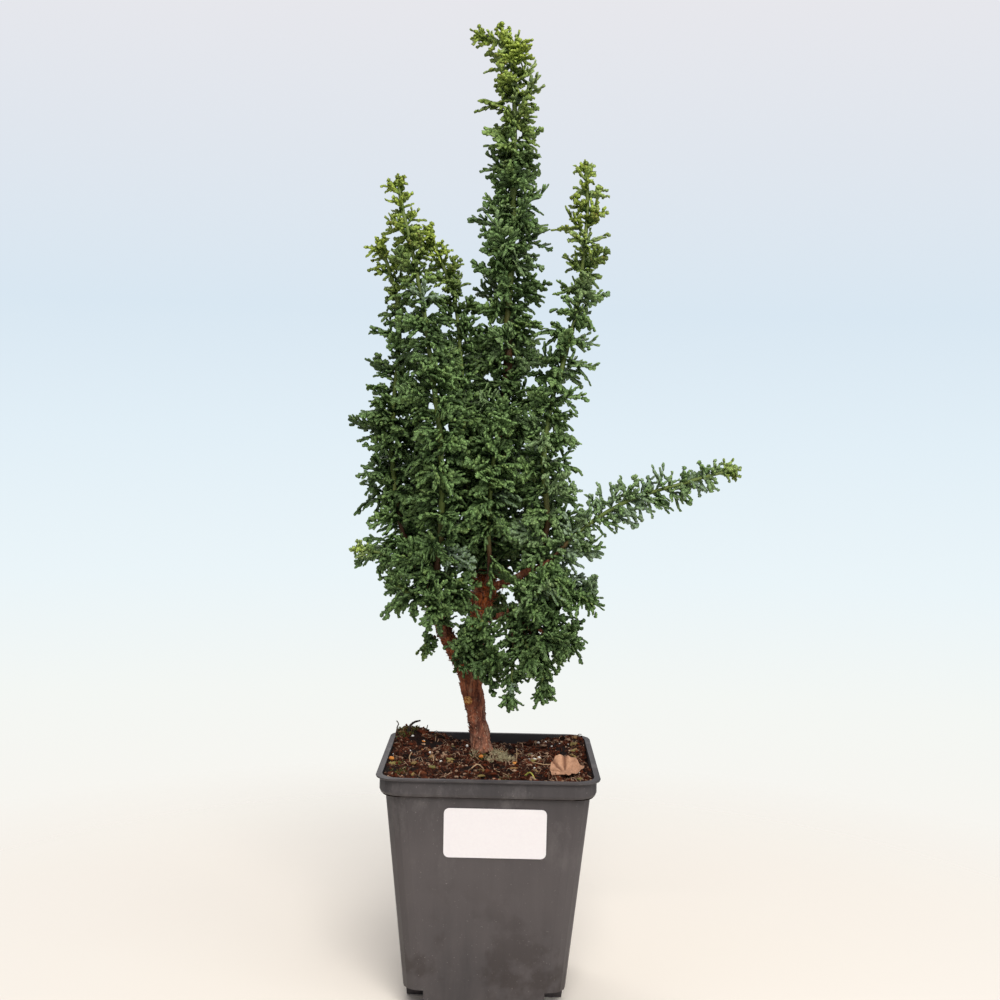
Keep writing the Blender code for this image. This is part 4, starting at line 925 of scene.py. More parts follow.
def leafy_piece(name, sprays, green, stalk):
    """All of one leafy stem: its fans, the short fans along it, its bud and its bark."""
    stem = Stem(name)
    spray_fans(stem, sprays)
    fill_stem(stem)
    if name == "leader_main":
        crown_fans(stem)
    if name not in BARE_TIP:
        tip_bud(stem)
    leaves = stem.shoots.arrays()
    bark = stem_bark(stem)
    points, quads, tris, tints = joined([*leaves, bark])
    counts = [sum(len(part[kind]) for part in leaves) for kind in (1, 2)]
    slots = np.concatenate((np.zeros(counts[0]), np.ones(len(bark[1])),
                            np.zeros(counts[1]), np.ones(len(bark[2]))))
    piece = mesh_object(name + "_fine", points, quads, tris, tints, (green, stalk), slots=slots)
    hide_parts(name)
    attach(piece, "root")


def spray_fans(stem, sprays):
    """The fans where the solid sprays are: one along each, and two that stand off its flat."""
    rng = stem.rng
    for spray, seat_points, attempt in sprays:
        out, _, _, flank, facing, bend, length = spray_frame(spray, seat_points, attempt)
        base = spray["centre"]
        share = share_on(stem.path, base)
        young = stem.youth(share)
        bloom = stem.bloom() * (1 - young)
        look = (young, stem.tone(), bloom)
        fan(stem.shoots, rng, base, (out, flank, facing), length * MAIN_FAN, bend, look)
        for tilt in () if stem.bare(share) else (1, -1):
            size = length * rng.uniform(*TILTED_LENGTH)
            turn = tilt * math.radians(rng.uniform(*TILT))
            place = rng.uniform(*TILTED_PLACE)
            way = math.cos(turn) * out + math.sin(turn) * facing
            roll = math.radians(rng.uniform(-TILTED_ROLL, TILTED_ROLL))
            normal = -math.sin(turn) * out + math.cos(turn) * facing
            across = math.cos(roll) * way.cross(normal) + math.sin(roll) * normal
            fan(stem.shoots, rng, base + out * length * place, (way, across, across.cross(way)), size,
                bend * TILTED_BEND, look, small=size > stem.fine_from)


def crown_fans(stem):
    """Upright fans where the tallest stem bends over, which round its crown."""
    rng = stem.rng
    for _ in range(CROWN_FANS):
        middle, _ = along(stem.path, rng.uniform(*CROWN_STRETCH))
        out = Vector((rng.uniform(-0.4, 1.0), rng.uniform(-0.8, 0.8), rng.uniform(0.3, 1.1))).normalized()
        flank = out.cross(Vector((rng.uniform(-1, 1), rng.uniform(-1, 1), 0.3))).normalized()
        length = rng.uniform(*CROWN_LENGTH)
        look = (1.0, stem.tone(), 0.0)
        fan(stem.shoots, rng, middle, (out, flank, flank.cross(out)), length, Vector(), look)


def fill_stem(stem):
    """Short fans close to the stem, which close the gaps between the long ones."""
    rng = stem.rng
    count = round(stem.length / FILL_STEPS.get(stem.name, FILL_STEP))
    for n in range(count):
        share = (n + rng.random()) / count
        if stem.bare(share):
            continue
        middle, tangent = along(stem.path, share)
        turn = n * SPRAY_TURN * FILL_TURN + rng.uniform(-FAN_TURN_SPREAD, FAN_TURN_SPREAD)
        radial = outward(tangent, turn)
        rise = math.radians(rng.uniform(*FILL_RISE))
        out = math.cos(rise) * radial + math.sin(rise) * tangent
        size = min(between(stem.values["reach"], share) * FILL_REACH, LONGEST_FILL)
        size *= rng.uniform(*FILL_LENGTH)
        roll = math.radians(rng.uniform(-FILL_ROLL, FILL_ROLL))
        flank = math.cos(roll) * out.cross(tangent).normalized() + math.sin(roll) * tangent
        flank = (flank - out * flank.dot(out)).normalized()
        start = middle + radial * between(stem.values["radius"], share) * FILL_SEAT
        look = (stem.youth(share), stem.tone(), 0.0)
        fan(stem.shoots, rng, start, (out, flank, flank.cross(out)), size, Vector((0, 0, FILL_BEND)), look,
            small=size > stem.fine_from)


def tip_bud(stem):
    """The small fans that close in on the stem's end."""
    last, tangent = along(stem.path, 1.0)
    for n in range(TIP_FANS):
        radial = outward(tangent, n * SPRAY_TURN)
        out = (tangent + radial * (TIP_SPREAD + TIP_SPREAD * n)).normalized()
        flank = out.cross(radial).normalized()
        fan(stem.shoots, stem.rng, last - tangent * (1 + TIP_STEP * n), (out, flank, flank.cross(out)),
            TIP_LENGTH * 1.1 + n, Vector(), (stem.youth(1.0), stem.tone(), 0.0), small=False)


def stem_bark(stem):
    """The bare stem as a knobbly tube, brown at its foot and green further up."""
    rings = max(round(stem.length / STALK_RING_STEP), 4)
    middles = [along(stem.path, i / rings)[0] for i in range(rings + 1)]
    radii = [between(stem.values["radius"], i / rings) for i in range(rings + 1)]
    brown = BROWN_TO.get(stem.name, 0.12)

    def stem_tint(share):
        return share, stem.youth(share), 1 - smoothstep(brown, brown + 0.2, share), 0.0

    return tube_arrays(middles, radii, STALK_SIDES, stem_tint, STALK_KNOBS, stem.rng)


def share_on(path, point):
    """The share of a path's length nearest to a point."""
    shares = [i / 60 for i in range(61)]
    return min(shares, key=lambda share: (along(path, share)[0] - point).length)


class Nodes:
    """A short way to build a material's nodes."""

    def __init__(self, name):
        self.material = bpy.data.materials.new(name)
        self.material.use_nodes = True
        self.tree = self.material.node_tree
        self.shader = self.tree.nodes["Principled BSDF"]

    def add(self, kind, inputs=None, **settings):
        node = self.tree.nodes.new(kind)
        for key, value in settings.items():
            setattr(node, key, value)
        for key, value in (inputs or {}).items():
            self.put(node.inputs[key], value)
        return node

    def put(self, socket, value):
        if hasattr(value, "is_linked"):
            self.tree.links.new(value, socket)
        else:
            socket.default_value = value

    def level(self, name, value):
        """One even value for the whole surface."""
        self.shader.inputs[name].default_value = value

    def set(self, **inputs):
        for key, value in inputs.items():
            self.put(self.shader.inputs[key.replace("_", " ").title()], value)

    def coords(self, scale=(1, 1, 1)):
        place = self.add("ShaderNodeTexCoord")
        mapping = self.add("ShaderNodeMapping", {"Vector": place.outputs["Object"], "Scale": scale})
        return mapping.outputs["Vector"]

    def noise(self, scale, detail=3.0, rough=0.55, stretch=(1, 1, 1)):
        node = self.add("ShaderNodeTexNoise", {"Vector": self.coords(stretch), "Scale": scale,
                                               "Detail": detail, "Roughness": rough})
        return node.outputs["Fac"]

    def voronoi(self, scale, stretch=(1, 1, 1)):
        inputs = {"Vector": self.coords(stretch), "Scale": scale}
        node = self.add("ShaderNodeTexVoronoi", inputs, feature="DISTANCE_TO_EDGE")
        return node.outputs["Distance"]

    def facing_in(self, place):
        """One where a face looks towards the pot's middle, and nought elsewhere."""
        level = self.add("ShaderNodeVectorMath", {0: place, 1: (1.0, 1.0, 0.0)}, operation="MULTIPLY")
        normal = self.add("ShaderNodeNewGeometry").outputs["Normal"]
        inputs = {0: level.outputs["Vector"], 1: normal}
        dot = self.add("ShaderNodeVectorMath", inputs, operation="DOT_PRODUCT")
        return self.span(dot.outputs["Value"], -0.01, -0.03)

    def span(self, value, low, high, to_low=0.0, to_high=1.0):
        node = self.add("ShaderNodeMapRange", {"Value": value, "From Min": low, "From Max": high,
                                               "To Min": to_low, "To Max": to_high})
        return node.outputs["Result"]

    def mix(self, factor, a, b):
        node = self.add("ShaderNodeMix", data_type="RGBA")
        for key, value in (("Factor", factor), ("A", a), ("B", b)):
            socket = [s for s in node.inputs if s.name == key and (s.type == "RGBA" or key == "Factor")][0]
            if isinstance(value, tuple):
                value = (*value, 1.0)
            self.put(socket, value)
        return [s for s in node.outputs if s.type == "RGBA"][0]

    def times(self, a, b):
        node = self.add("ShaderNodeMath", operation="MULTIPLY")
        self.put(node.inputs[0], a)
        self.put(node.inputs[1], b)
        return node.outputs[0]

    def bump(self, height, strength, distance):
        node = self.add("ShaderNodeBump", {"Height": height, "Strength": strength, "Distance": distance})
        self.put(self.shader.inputs["Normal"], node.outputs["Normal"])


def rgb(red, green, blue):
    """A display colour from 0 to 255 as a linear one."""
    levels = (red / 255, green / 255, blue / 255)
    return tuple(((c + 0.055) / 1.055) ** 2.4 if c > 0.04 else c / 12.92 for c in levels)


def tint_values(made):
    node = made.add("ShaderNodeAttribute", attribute_name="tint")
    split = made.add("ShaderNodeSeparateColor", {"Color": node.outputs["Color"]})
    return split.outputs[0], split.outputs[1], split.outputs[2], node.outputs["Alpha"]


def foliage_material():
    """Waxy green: the tint holds the share from foot to tip, youth, depth of tone and bloom; the darker fan
    feet and the low stems' dark tones are partly painted shade.
    """
    made = Nodes("foliage_fine")
    tip, young, tone, bloom = tint_values(made)
    # Darker towards each fan's foot and paler at its tips: the shoots' own colour, with painted shade deep
    # inside the bush
    old = made.mix(made.span(tip, 0.1, 0.95), rgb(24, 46, 17), rgb(150, 186, 112))
    old = made.mix(made.span(made.noise(28, 2), 0.42, 0.66, 0, 0.3), old, rgb(92, 124, 70))
    fresh = made.mix(made.span(tip, 0.05, 0.85), rgb(60, 98, 26), rgb(208, 228, 96))
    colour = made.mix(young, old, fresh)
    # A darker tone: random from fan to fan, and painted shade for the stems that hang low
    colour = made.mix(made.span(tone, 0.35, 1.0, 0.0, 0.52), colour, rgb(16, 36, 11))
    colour = made.mix(made.span(tone, 0.0, 0.3, 0.62, 0.0), colour, rgb(154, 176, 130))
    patches = made.span(made.noise(90, 2), 0.49, 0.62, 0, 0.8)
    tip_brown = made.times(made.span(tip, 0.91, 1.0), patches)
    tip_brown = made.times(tip_brown, made.span(young, 0.0, 0.6, 0.2, 1.0))
    colour = made.mix(tip_brown, colour, rgb(186, 126, 60))
    scales = made.voronoi(900)
    # Painted shade in the creases between the scale leaves, and a painted highlight on the middle of each
    # scale
    colour = made.mix(made.span(scales, 0.02, 0.2, 0.66, 0.0), colour, rgb(18, 32, 10))
    colour = made.mix(made.span(scales, 0.2, 0.42, 0.0, 0.28), colour, rgb(150, 196, 108))
    bands = made.times(bloom, made.span(made.voronoi(620), 0.04, 0.2, 0.8, 0.1))
    colour = made.mix(bands, colour, rgb(150, 168, 148))
    made.set(base_color=colour, roughness=made.span(made.noise(300, 2), 0.3, 0.7, 0.45, 0.65))
    made.level("Specular IOR Level", 0.3)
    made.bump(scales, 0.5, 0.0004)
    return made.material


def stalk_material():
    made = Nodes("leafy_stem")
    _, _, brown, _ = tint_values(made)
    green = made.mix(made.noise(200, 3), rgb(84, 104, 42), rgb(124, 138, 64))
    bark = made.mix(made.noise(350, 4, 0.6, (1, 1, 0.3)), rgb(66, 38, 26), rgb(120, 76, 50))
    colour = made.mix(brown, green, bark)
    made.set(base_color=colour)
    made.level("Roughness", 0.6)
    made.bump(made.noise(700, 3, 0.6, (1, 1, 0.35)), 0.5, 0.0004)
    return made.material


def bark_material():
    """Red-brown bark with upright fissures: the tint holds its peeling, greyness and pale flakes."""
    made = Nodes("bark_fine")
    ragged, grey, flake, _ = tint_values(made)
    grain = made.noise(300, 6, 0.7, (1, 1, 0.3))
    colour = made.mix(made.span(grain, 0.38, 0.62), rgb(84, 38, 25), rgb(196, 116, 82))
    pale = made.span(made.noise(240, 5, 0.7, (1, 1, 0.5)), 0.53, 0.64, 0.0, 0.75)
    colour = made.mix(pale, colour, rgb(198, 154, 128))
    warm = made.mix(made.span(grain, 0.4, 0.62), rgb(138, 60, 26), rgb(240, 138, 72))
    colour = made.mix(ragged, colour, warm)
    colour = made.mix(made.times(flake, 0.75), colour, rgb(214, 174, 146))
    colour = made.mix(made.times(grey, 0.45), colour, rgb(150, 116, 98))
    cracks = made.voronoi(300, stretch=(1, 1, 0.4))
    colour = made.mix(made.span(cracks, 0.0, 0.09, 0.5, 0.0), colour, rgb(40, 19, 13))
    made.set(base_color=colour)
    made.level("Roughness", 0.85)
    made.bump(made.noise(420, 6, 0.7, (1, 1, 0.25)), 0.9, 0.0008)
    return made.material


def build_foliage():
    green = foliage_material()
    stalk = stalk_material()
    stems = {name: stem_mesh(stem) for name, stem in STEMS.items()}
    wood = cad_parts["wood"].data
    points = [vertex.co / MM for vertex in wood.vertices]
    tree = BVHTree.FromPolygons(points, [tuple(face.vertices) for face in wood.polygons])
    for name, sprays in grow_sprays(stems, tree).items():
        leafy_piece(name, sprays, green, stalk)
    limb_fans(green)


def limb_fans(green):
    """Short fans on the twigs that lead to the leafy stems, which hide the bare wood there."""
    rng = random.Random(77)
    shoots = Shoots()
    for name, count in LEAFY_LIMBS.items():
        path = [Vector(row[:3]) for row in LIMBS[name]]
        radius = LIMBS[name][-1][3]
        for n in range(count):
            middle, tangent = along(path, 0.25 + 0.72 * (n + rng.random()) / count)
            turn = n * SPRAY_TURN + rng.uniform(-FAN_TURN_SPREAD, FAN_TURN_SPREAD)
            radial = outward(tangent, turn)
            out = (radial + tangent * rng.uniform(0.1, 0.8)).normalized()
            flank = out.cross(tangent).normalized()
            length = rng.uniform(*LIMB_FAN_LENGTH)
            look = (0.0, rng.uniform(*USUAL_TONE), 0.0)
            fan(shoots, rng, middle + radial * radius * 0.7, (out, flank, flank.cross(out)), length,
                Vector((0, 0, 0.1)), look)
    points, quads, tris, tints = joined(shoots.arrays())
    piece = mesh_object("limb_fans", points, quads, tris, tints, (green,))
    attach(piece, "root")


def smooth_path(rows, step):
    """Rows of numbers made into a smooth curve through them, about one row for each step."""
    rows = [np.array(row, float) for row in rows]
    ends = [2 * rows[0] - rows[1], *rows, 2 * rows[-1] - rows[-2]]
    found = []
    for a, b, c, d in zip(ends, ends[1:], ends[2:], ends[3:]):
        count = max(round(float(np.linalg.norm((c - b)[:3])) / step), 1)
        for i in range(count):
            u = i / count
            found.append(0.5 * (2 * b + (c - a) * u + (2 * a - 5 * b + 4 * c - d) * u ** 2
                                + (3 * b - a - 3 * c + d) * u ** 3))
    found.append(rows[-1])
    return found


def plain_tint(*values):
    return lambda share: values


def peeling(z):
    """How much the bark peels at a height: most of all round the fork's upper half."""
    return smoothstep(146, 166, z) * 0.45 + smoothstep(184, 196, z) * 0.55


def build_wood():
    """The trunk and limbs as one body: tubes made one by a remesh, then roughened as bark."""
    parts = []
    for rows, sides in ((TRUNK, TRUNK_SIDES), *((rows, LIMB_SIDES) for rows in LIMBS.values())):
        smooth = smooth_path(rows, PATH_STEP)
        middles = [Vector(row[:3]) for row in smooth]
        parts.append(tube_arrays(middles, [row[3] for row in smooth], sides, plain_tint(0, 0, 0, 0)))
    points, quads, tris, _ = joined(parts)
    wood = mesh_object("wood_fine", points, quads, tris)
    step = wood.modifiers.new("remesh", "REMESH")
    step.mode = "VOXEL"
    step.voxel_size = WOOD_VOXEL * MM
    step.use_smooth_shade = True
    ease = wood.modifiers.new("ease", "SMOOTH")
    ease.iterations = WOOD_EASING
    graph = bpy.context.evaluated_depsgraph_get()
    mesh = bpy.data.meshes.new_from_object(wood.evaluated_get(graph))
    wood.modifiers.clear()
    wood.data = mesh
    roughen(mesh)
    mesh.materials.clear()
    bark = bark_material()
    mesh.materials.append(bark)
    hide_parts("wood")
    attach(wood, "root")
    shards = bark_shards(mesh, bark)
    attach(shards, "root")
    scar = cut_scar()
    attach(scar, "root")


def roughen(mesh):
    """Ridges, lumps and peeling on the wood, with the tint that the bark is coloured by."""
    tint = np.zeros((len(mesh.vertices), 4), np.float32)
    for i, vertex in enumerate(mesh.vertices):
        place = vertex.co / MM
        thick = smoothstep(1.9, 3.4, nearest_radius(place))
        peel = peeling(place.z) * thick
        upright = Vector((place.x * 0.6, place.y * 0.6, place.z * 0.2))
        ridge = noise.fractal(upright, 0.8, 2.1, 4)
        fine = noise.noise(Vector((place.x * 1.5, place.y * 1.5, place.z * 0.8)))
        rough = noise.noise(place * 0.9)
        lump = noise.noise(place * 0.3)
        lift = ridge * 0.42 + fine * 0.4 + abs(rough) * 0.45 + lump * 0.7
        lift += peel * (abs(rough) * 0.9 + fine * 0.3)
        vertex.co += vertex.normal * lift * (0.25 + 0.75 * thick) * MM
        low = 1 - smoothstep(118, 140, place.z)
        tint[i] = (min(peel * 1.1 + max(rough, 0) * 0.4 * peel, 1), low, 0, 0)
    mesh.attributes.new("tint", "FLOAT_COLOR", "POINT").data.foreach_set("color", tint.ravel())


def wood_rows():
    return [*TRUNK, *(row for rows in LIMBS.values() for row in rows)]


def nearest_radius(place):
    """The radius of the trunk or limb at the nearest of their listed points."""
    best = min(wood_rows(), key=lambda row: (Vector(row[:3]) - place).length - row[3])
    return best[3]


def bark_shards(mesh, bark):
    """Thin shards of dead bark and old scale leaves that stand off the wood."""
    rng = random.Random(71)
    faces = list(mesh.polygons)
    points, quads, tris, tints = [], [], [], []
    while len(points) < SHARDS * SHARD_POINTS:
        face = rng.choice(faces)
        foot = face.center / MM
        thick = smoothstep(1.9, 3.0, nearest_radius(foot))
        low = 1 - smoothstep(142, 152, foot.z)
        chance = (peeling(foot.z) ** 1.5 * 1.1 + 0.25 + 0.45 * low) * thick
        if rng.random() > chance or face.normal.z > 0.8:
            continue
        normal = face.normal.copy()
        upwards = Vector((0, 0, 1)) - normal * normal.z
        upwards.normalize()
        down = rng.random() < 0.25
        turn = Matrix.Rotation(rng.uniform(-SHARD_SPREAD, SHARD_SPREAD), 3, normal)
        way = turn @ (upwards * (-1 if down else 1))
        size = rng.uniform(*SHARD_LENGTH) * (0.6 + 0.7 * peeling(foot.z))
        width = rng.uniform(*SHARD_WIDTH)
        lift = rng.uniform(*SHARD_LIFT) * (0.3 + 0.9 * peeling(foot.z))
        side = normal.cross(way)
        thin = normal * SHARD_HALF_THICKNESS
        foot -= normal * SHARD_SINK
        middle = foot + size * 0.5 * (way + normal * lift * 0.6)
        tip = foot + size * (way + normal * lift)
        base = len(points)
        for centre, half in ((foot, 0.5), (middle, 0.42)):
            edges = ((1, -1), (1, 1), (-1, 1), (-1, -1))
            points += [tuple(centre + side * width * half * a + thin * b) for a, b in edges]
        points.append(tuple(tip))
        quads += [(base + j, base + 4 + j, base + 4 + (j + 1) % 4, base + (j + 1) % 4) for j in range(4)]
        quads.append((base, base + 1, base + 2, base + 3))
        tris += [(base + 4 + j, base + 8, base + 4 + (j + 1) % 4) for j in range(4)]
        warmth = rng.uniform(0.2, 1.0) * (0.35 + 0.65 * peeling(foot.z))
        tints += [(warmth, 0, rng.random() * (0.35 + 0.65 * low), 0)] * SHARD_POINTS
    return mesh_object("bark_shards", np.array(points), np.array(quads), np.array(tris), np.array(tints),
                       (bark,), smooth=False)


def cut_scar():
    """The orange scar of a branch cut off the trunk: a low rim round a rough middle."""
    centre = Vector(SCAR_PLACE)
    axis = Vector(SCAR_FACING).normalized()
    across = axis.orthogonal().normalized()
    up = axis.cross(across)
    rng = random.Random(8)
    points = []
    for radius, height in SCAR_RINGS:
        for j in range(SCAR_SIDES):
            angle = 2 * math.pi * j / SCAR_SIDES
            wobble = 1 + rng.uniform(-0.07, 0.07)
            place = centre + SCAR_RADIUS * radius * wobble * (math.cos(angle) * across + math.sin(angle) * up)
            points.append(tuple(place + axis * height))
    points += [tuple(centre - axis * SCAR_DEPTH), tuple(centre + axis * SCAR_MIDDLE)]
    rings = len(SCAR_RINGS)
    made = Nodes("cut_wood")
    grain = made.noise(900, 5, 0.7)
    made.set(base_color=made.mix(made.span(grain, 0.4, 0.56), rgb(178, 80, 26), rgb(255, 196, 116)))
    made.level("Roughness", 0.8)
    made.bump(grain, 0.8, 0.0005)
    return mesh_object("cut_scar", np.array(points), np.array(ring_quads(rings, SCAR_SIDES)),
                       np.array(end_tris(rings, SCAR_SIDES)), np.tile((1.0, 0.0, 0.0, 0.0), (len(points), 1)),
                       (made.material,))


def lumpy(centre, size, rng, detail, squash=1.0):
    """A rough lump: an icosphere with its points moved in and out."""
    shape = bmesh.new()
    bmesh.ops.create_icosphere(shape, subdivisions=detail, radius=1.0)
    turn = Matrix.Rotation(rng.uniform(0, 6.28), 3, Vector((rng.random(), rng.random(), rng.random() + 0.1)))
    scale = Vector((rng.uniform(0.75, 1.25), rng.uniform(0.75, 1.25), rng.uniform(0.6, 1.0) * squash))
    points = []
    for vertex in shape.verts:
        place = turn @ (vertex.co * rng.uniform(0.78, 1.2))
        points.append(tuple(Vector(centre) + Vector((place[i] * scale[i] for i in range(3))) * size))
    tris = [tuple(vertex.index for vertex in face.verts) for face in shape.faces]
    shape.free()
    return points, tris


def gather(parts, name, surface, tints=None, smooth=False):
    """One piece from many (points, triangles) with one tint each."""
    points, tris, colours = [], [], []
    for i, (some, faces) in enumerate(parts):
        base = len(points)
        points += some
        tris += [tuple(base + j for j in face) for face in faces]
        colours += [tints[i] if tints else (0, 0, 0, 0)] * len(some)
    return mesh_object(name, np.array(points), np.zeros((0, 4), int), np.array(tris), np.array(colours),
                       (surface,), smooth=smooth)


def soil_place(rng, reach=50.5):
    """A random place on the soil, off the trunk."""
    while True:
        x, y = rng.uniform(-reach, reach), rng.uniform(-reach, reach)
        if math.hypot(x - TRUNK_X, y - TRUNK_Y) > 5.4 and inside_pot(x, y, 0.6):
            return x, y


def inside_pot(x, y, margin):
    """Whether a place on the soil is inside the rounded square of the pot's inner wall."""
    half = SOIL_HALF - margin
    corner = SOIL_CORNER
    over_x = max(abs(x) - (half - corner), 0)
    over_y = max(abs(y) - (half - corner), 0)
    return math.hypot(over_x, over_y) < corner


def crust_height(x, y):
    """The soil's height with its crumbs."""
    place = Vector((x, y, 0))
    z = soil_height(x, y) + 0.3
    z += 1.5 * noise.noise(place * 0.14) + 1.3 * noise.noise(place * 0.33 + Vector((7, 3, 1)))
    z += 1.1 * abs(noise.noise(place * 0.8)) + 0.7 * noise.noise(place * 1.7) - 0.3
    edge = SOIL_HALF - max(abs(x), abs(y))
    return z + 0.9 * smoothstep(5, 0, edge) * noise.noise(place * 0.5 + Vector((0, 0, 9)))


def build_crust(peat):
    """The crumbly face of the soil, a closed slab sunk in the solid soil."""
    count = CRUST_CELLS
    points = []
    for i in range(count + 1):
        for j in range(count + 1):
            x, y = ((2 * k / count - 1) * SOIL_HALF for k in (i, j))
            over = [max(abs(v) - (SOIL_HALF - SOIL_CORNER), 0.0) for v in (x, y)]
            if min(over) > 0:
                shrink = max(over) / math.hypot(*over)
                x, y = (math.copysign(SOIL_HALF - SOIL_CORNER + o * shrink, v) for o, v in zip(over, (x, y)))
            points.append((x, y, crust_height(x, y)))
    row = count + 1
    quads = [(i * row + j, (i + 1) * row + j, (i + 1) * row + j + 1, i * row + j + 1)
             for i in range(count) for j in range(count)]
    rim = [i * row for i in range(row)] + [count * row + j for j in range(1, row)]
    rim += [i * row + count for i in range(count - 1, -1, -1)] + list(range(count - 1, 0, -1))
    base = len(points)
    points += [(*points[i][:2], CRUST_BOTTOM) for i in rim]
    points.append((0, 0, CRUST_BOTTOM))
    last = len(points) - 1
    tris = []
    for k, i in enumerate(rim):
        n = (k + 1) % len(rim)
        quads.append((i, base + k, base + n, rim[n]))
        tris.append((base + n, base + k, last))
    relief = [z - soil_height(x, y) for x, y, z in points[:base]]
    tints = np.zeros((len(points), 4))
    # The crust's relief, from its pits to its crests, by which the peat paints shade into the pits
    tints[:base, 0] = np.interp(relief, CRUST_RELIEF, (0, 1))
    return mesh_object("soil_crust", np.array(points), np.array(quads), np.array(tris), tints, (peat,))


def soil_fibres(rng, peat):
    """Thin rootlets and peat fibres lying in curves on the soil."""
    parts = []
    for _ in range(FIBRES):
        x, y = soil_place(rng)
        heading = rng.uniform(0, 2 * math.pi)
        bend = rng.uniform(-0.5, 0.5)
        length = rng.uniform(*FIBRE_LENGTH)
        lift = rng.uniform(0.0, 0.5) + (rng.random() < 0.2) * rng.uniform(0.4, 2.2)
        middles = []
        for i in range(FIBRE_STEPS + 1):
            if not inside_pot(x, y, 0.5):
                break
            rise = lift * math.sin(math.pi * (i / FIBRE_STEPS)) + 0.12
            middles.append(Vector((x, y, crust_height(x, y) + rise)))
            heading += bend + rng.uniform(-0.35, 0.35)
            x += length / FIBRE_STEPS * math.cos(heading)
            y += length / FIBRE_STEPS * math.sin(heading)
        if len(middles) < 3:
            continue
        radii = [rng.uniform(*FIBRE_RADIUS)] * len(middles)
        shade = rng.random()
        parts.append(tube_arrays(middles, radii, 3, plain_tint(shade, rng.random(), 1, 0)))
    points, quads, tris, tints = joined(parts)
    return mesh_object("soil_fibres", points, quads, tris, tints, (peat,))


def peat_material():
    """Dark brown peat: the tint's first value lightens a crumb or fibre and, on the crust, is its relief, by
    which the pits get painted shade; the second reddens a crumb or fibre.
    """
    made = Nodes("peat")
    light, red, loose, _ = tint_values(made)
    speck = made.noise(900, 5, 0.7)
    base = made.mix(made.span(speck, 0.4, 0.7), rgb(18, 8, 5), rgb(106, 56, 36))
    base = made.mix(made.span(made.noise(180, 4), 0.54, 0.7, 0, 0.7), base, rgb(132, 76, 50))
    # Painted shade in the crust's low pits
    base = made.mix(made.span(light, 0.15, 0.6, 0.9, 0.0), base, rgb(12, 6, 4))
    crumb = made.mix(red, rgb(50, 26, 18), rgb(126, 62, 36))
    crumb = made.mix(made.span(light, 0.5, 0.95), crumb, rgb(222, 184, 152))
    crumb = made.mix(made.span(speck, 0.35, 0.65, 0.7, 0.0), crumb, rgb(20, 11, 8))
    made.set(base_color=made.mix(loose, base, crumb))
    made.level("Specular IOR Level", 0.12)
    made.level("Roughness", 0.9)
    made.bump(speck, 0.9, 0.0008)
    return made.material


def coloured(name, dark, light, roughness, scale=500, depth=0.0004):
    """A mottled material between two colours."""
    made = Nodes(name)
    mottle = made.noise(scale, 4, 0.6)
    made.set(base_color=made.mix(made.span(mottle, 0.32, 0.68), dark, light))
    made.level("Roughness", roughness)
    made.level("Specular IOR Level", 0.2)
    made.bump(mottle, 0.6, depth)
    return made.material


def on_soil(x, y, height=0.0):
    return (x, y, crust_height(x, y) + height)


def build_soil_details():
    rng = random.Random(23)
    peat = peat_material()
    pieces = [build_crust(peat)]
    crumbs, shades = [], []
    for n in range(CRUMBS):
        x, y = soil_place(rng)
        clod = n % CLOD_EVERY == 0
        size = rng.uniform(*(CLOD_SIZE if clod else CRUMB_SIZE))
        squash = rng.uniform(*CLOD_SQUASH) if clod else 1.0
        crumbs.append(lumpy(on_soil(x, y, 0.25 * size * squash), size, rng, 1, squash))
        shades.append((rng.random() ** 1.6, rng.random(), 1, 0))
    pieces.append(gather(crumbs, "soil_crumbs", peat, shades))
    pieces.append(soil_fibres(rng, peat))
    white = coloured("perlite", rgb(206, 202, 196), rgb(246, 243, 238), 0.8)
    grains = [lumpy(on_soil(*place, 0.5), rng.uniform(*PERLITE_SIZE), rng, 2) for place in PERLITE]
    grains += [lumpy(on_soil(*soil_place(rng), 0.3), rng.uniform(*SMALL_PERLITE_SIZE), rng, 1)
               for _ in range(SMALL_PERLITE)]
    pieces.append(gather(grains, "perlite_grains", white, smooth=True))
    orange = coloured("pellet", rgb(196, 110, 44), rgb(228, 158, 78), 0.55)
    grains = [lumpy(on_soil(*place, 0.7), rng.uniform(*PELLET_SIZE), rng, 2, 0.9) for place in PELLETS]
    pieces.append(gather(grains, "feed_pellets", orange, smooth=True))
    for piece in pieces + build_moss(rng) + build_rootlets(rng) + [build_litter(rng)]:
        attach(piece, "root")


def blade(foot, tip, width, bow):
    """A thin closed blade with three sides, from a foot to a pointed tip."""
    foot, tip = Vector(foot), Vector(tip)
    tangent = (tip - foot).normalized()
    side = tangent.orthogonal().normalized() * width
    other = tangent.cross(side)
    middle = foot.lerp(tip, 0.5) + Vector(bow)
    points = []
    for centre, scale in ((foot, 1.0), (middle, 0.8)):
        for angle in (0, 2.09, 4.19):
            out = math.cos(angle) * side + math.sin(angle) * other
            points.append(tuple(centre + scale * out))
    points.append(tuple(tip))
    tris = [(0, 2, 1)]
    for j in range(3):
        k = (j + 1) % 3
        tris += [(j, k, 3 + k), (j, 3 + k, 3 + j), (3 + j, 3 + k, 6)]
    return points, tris


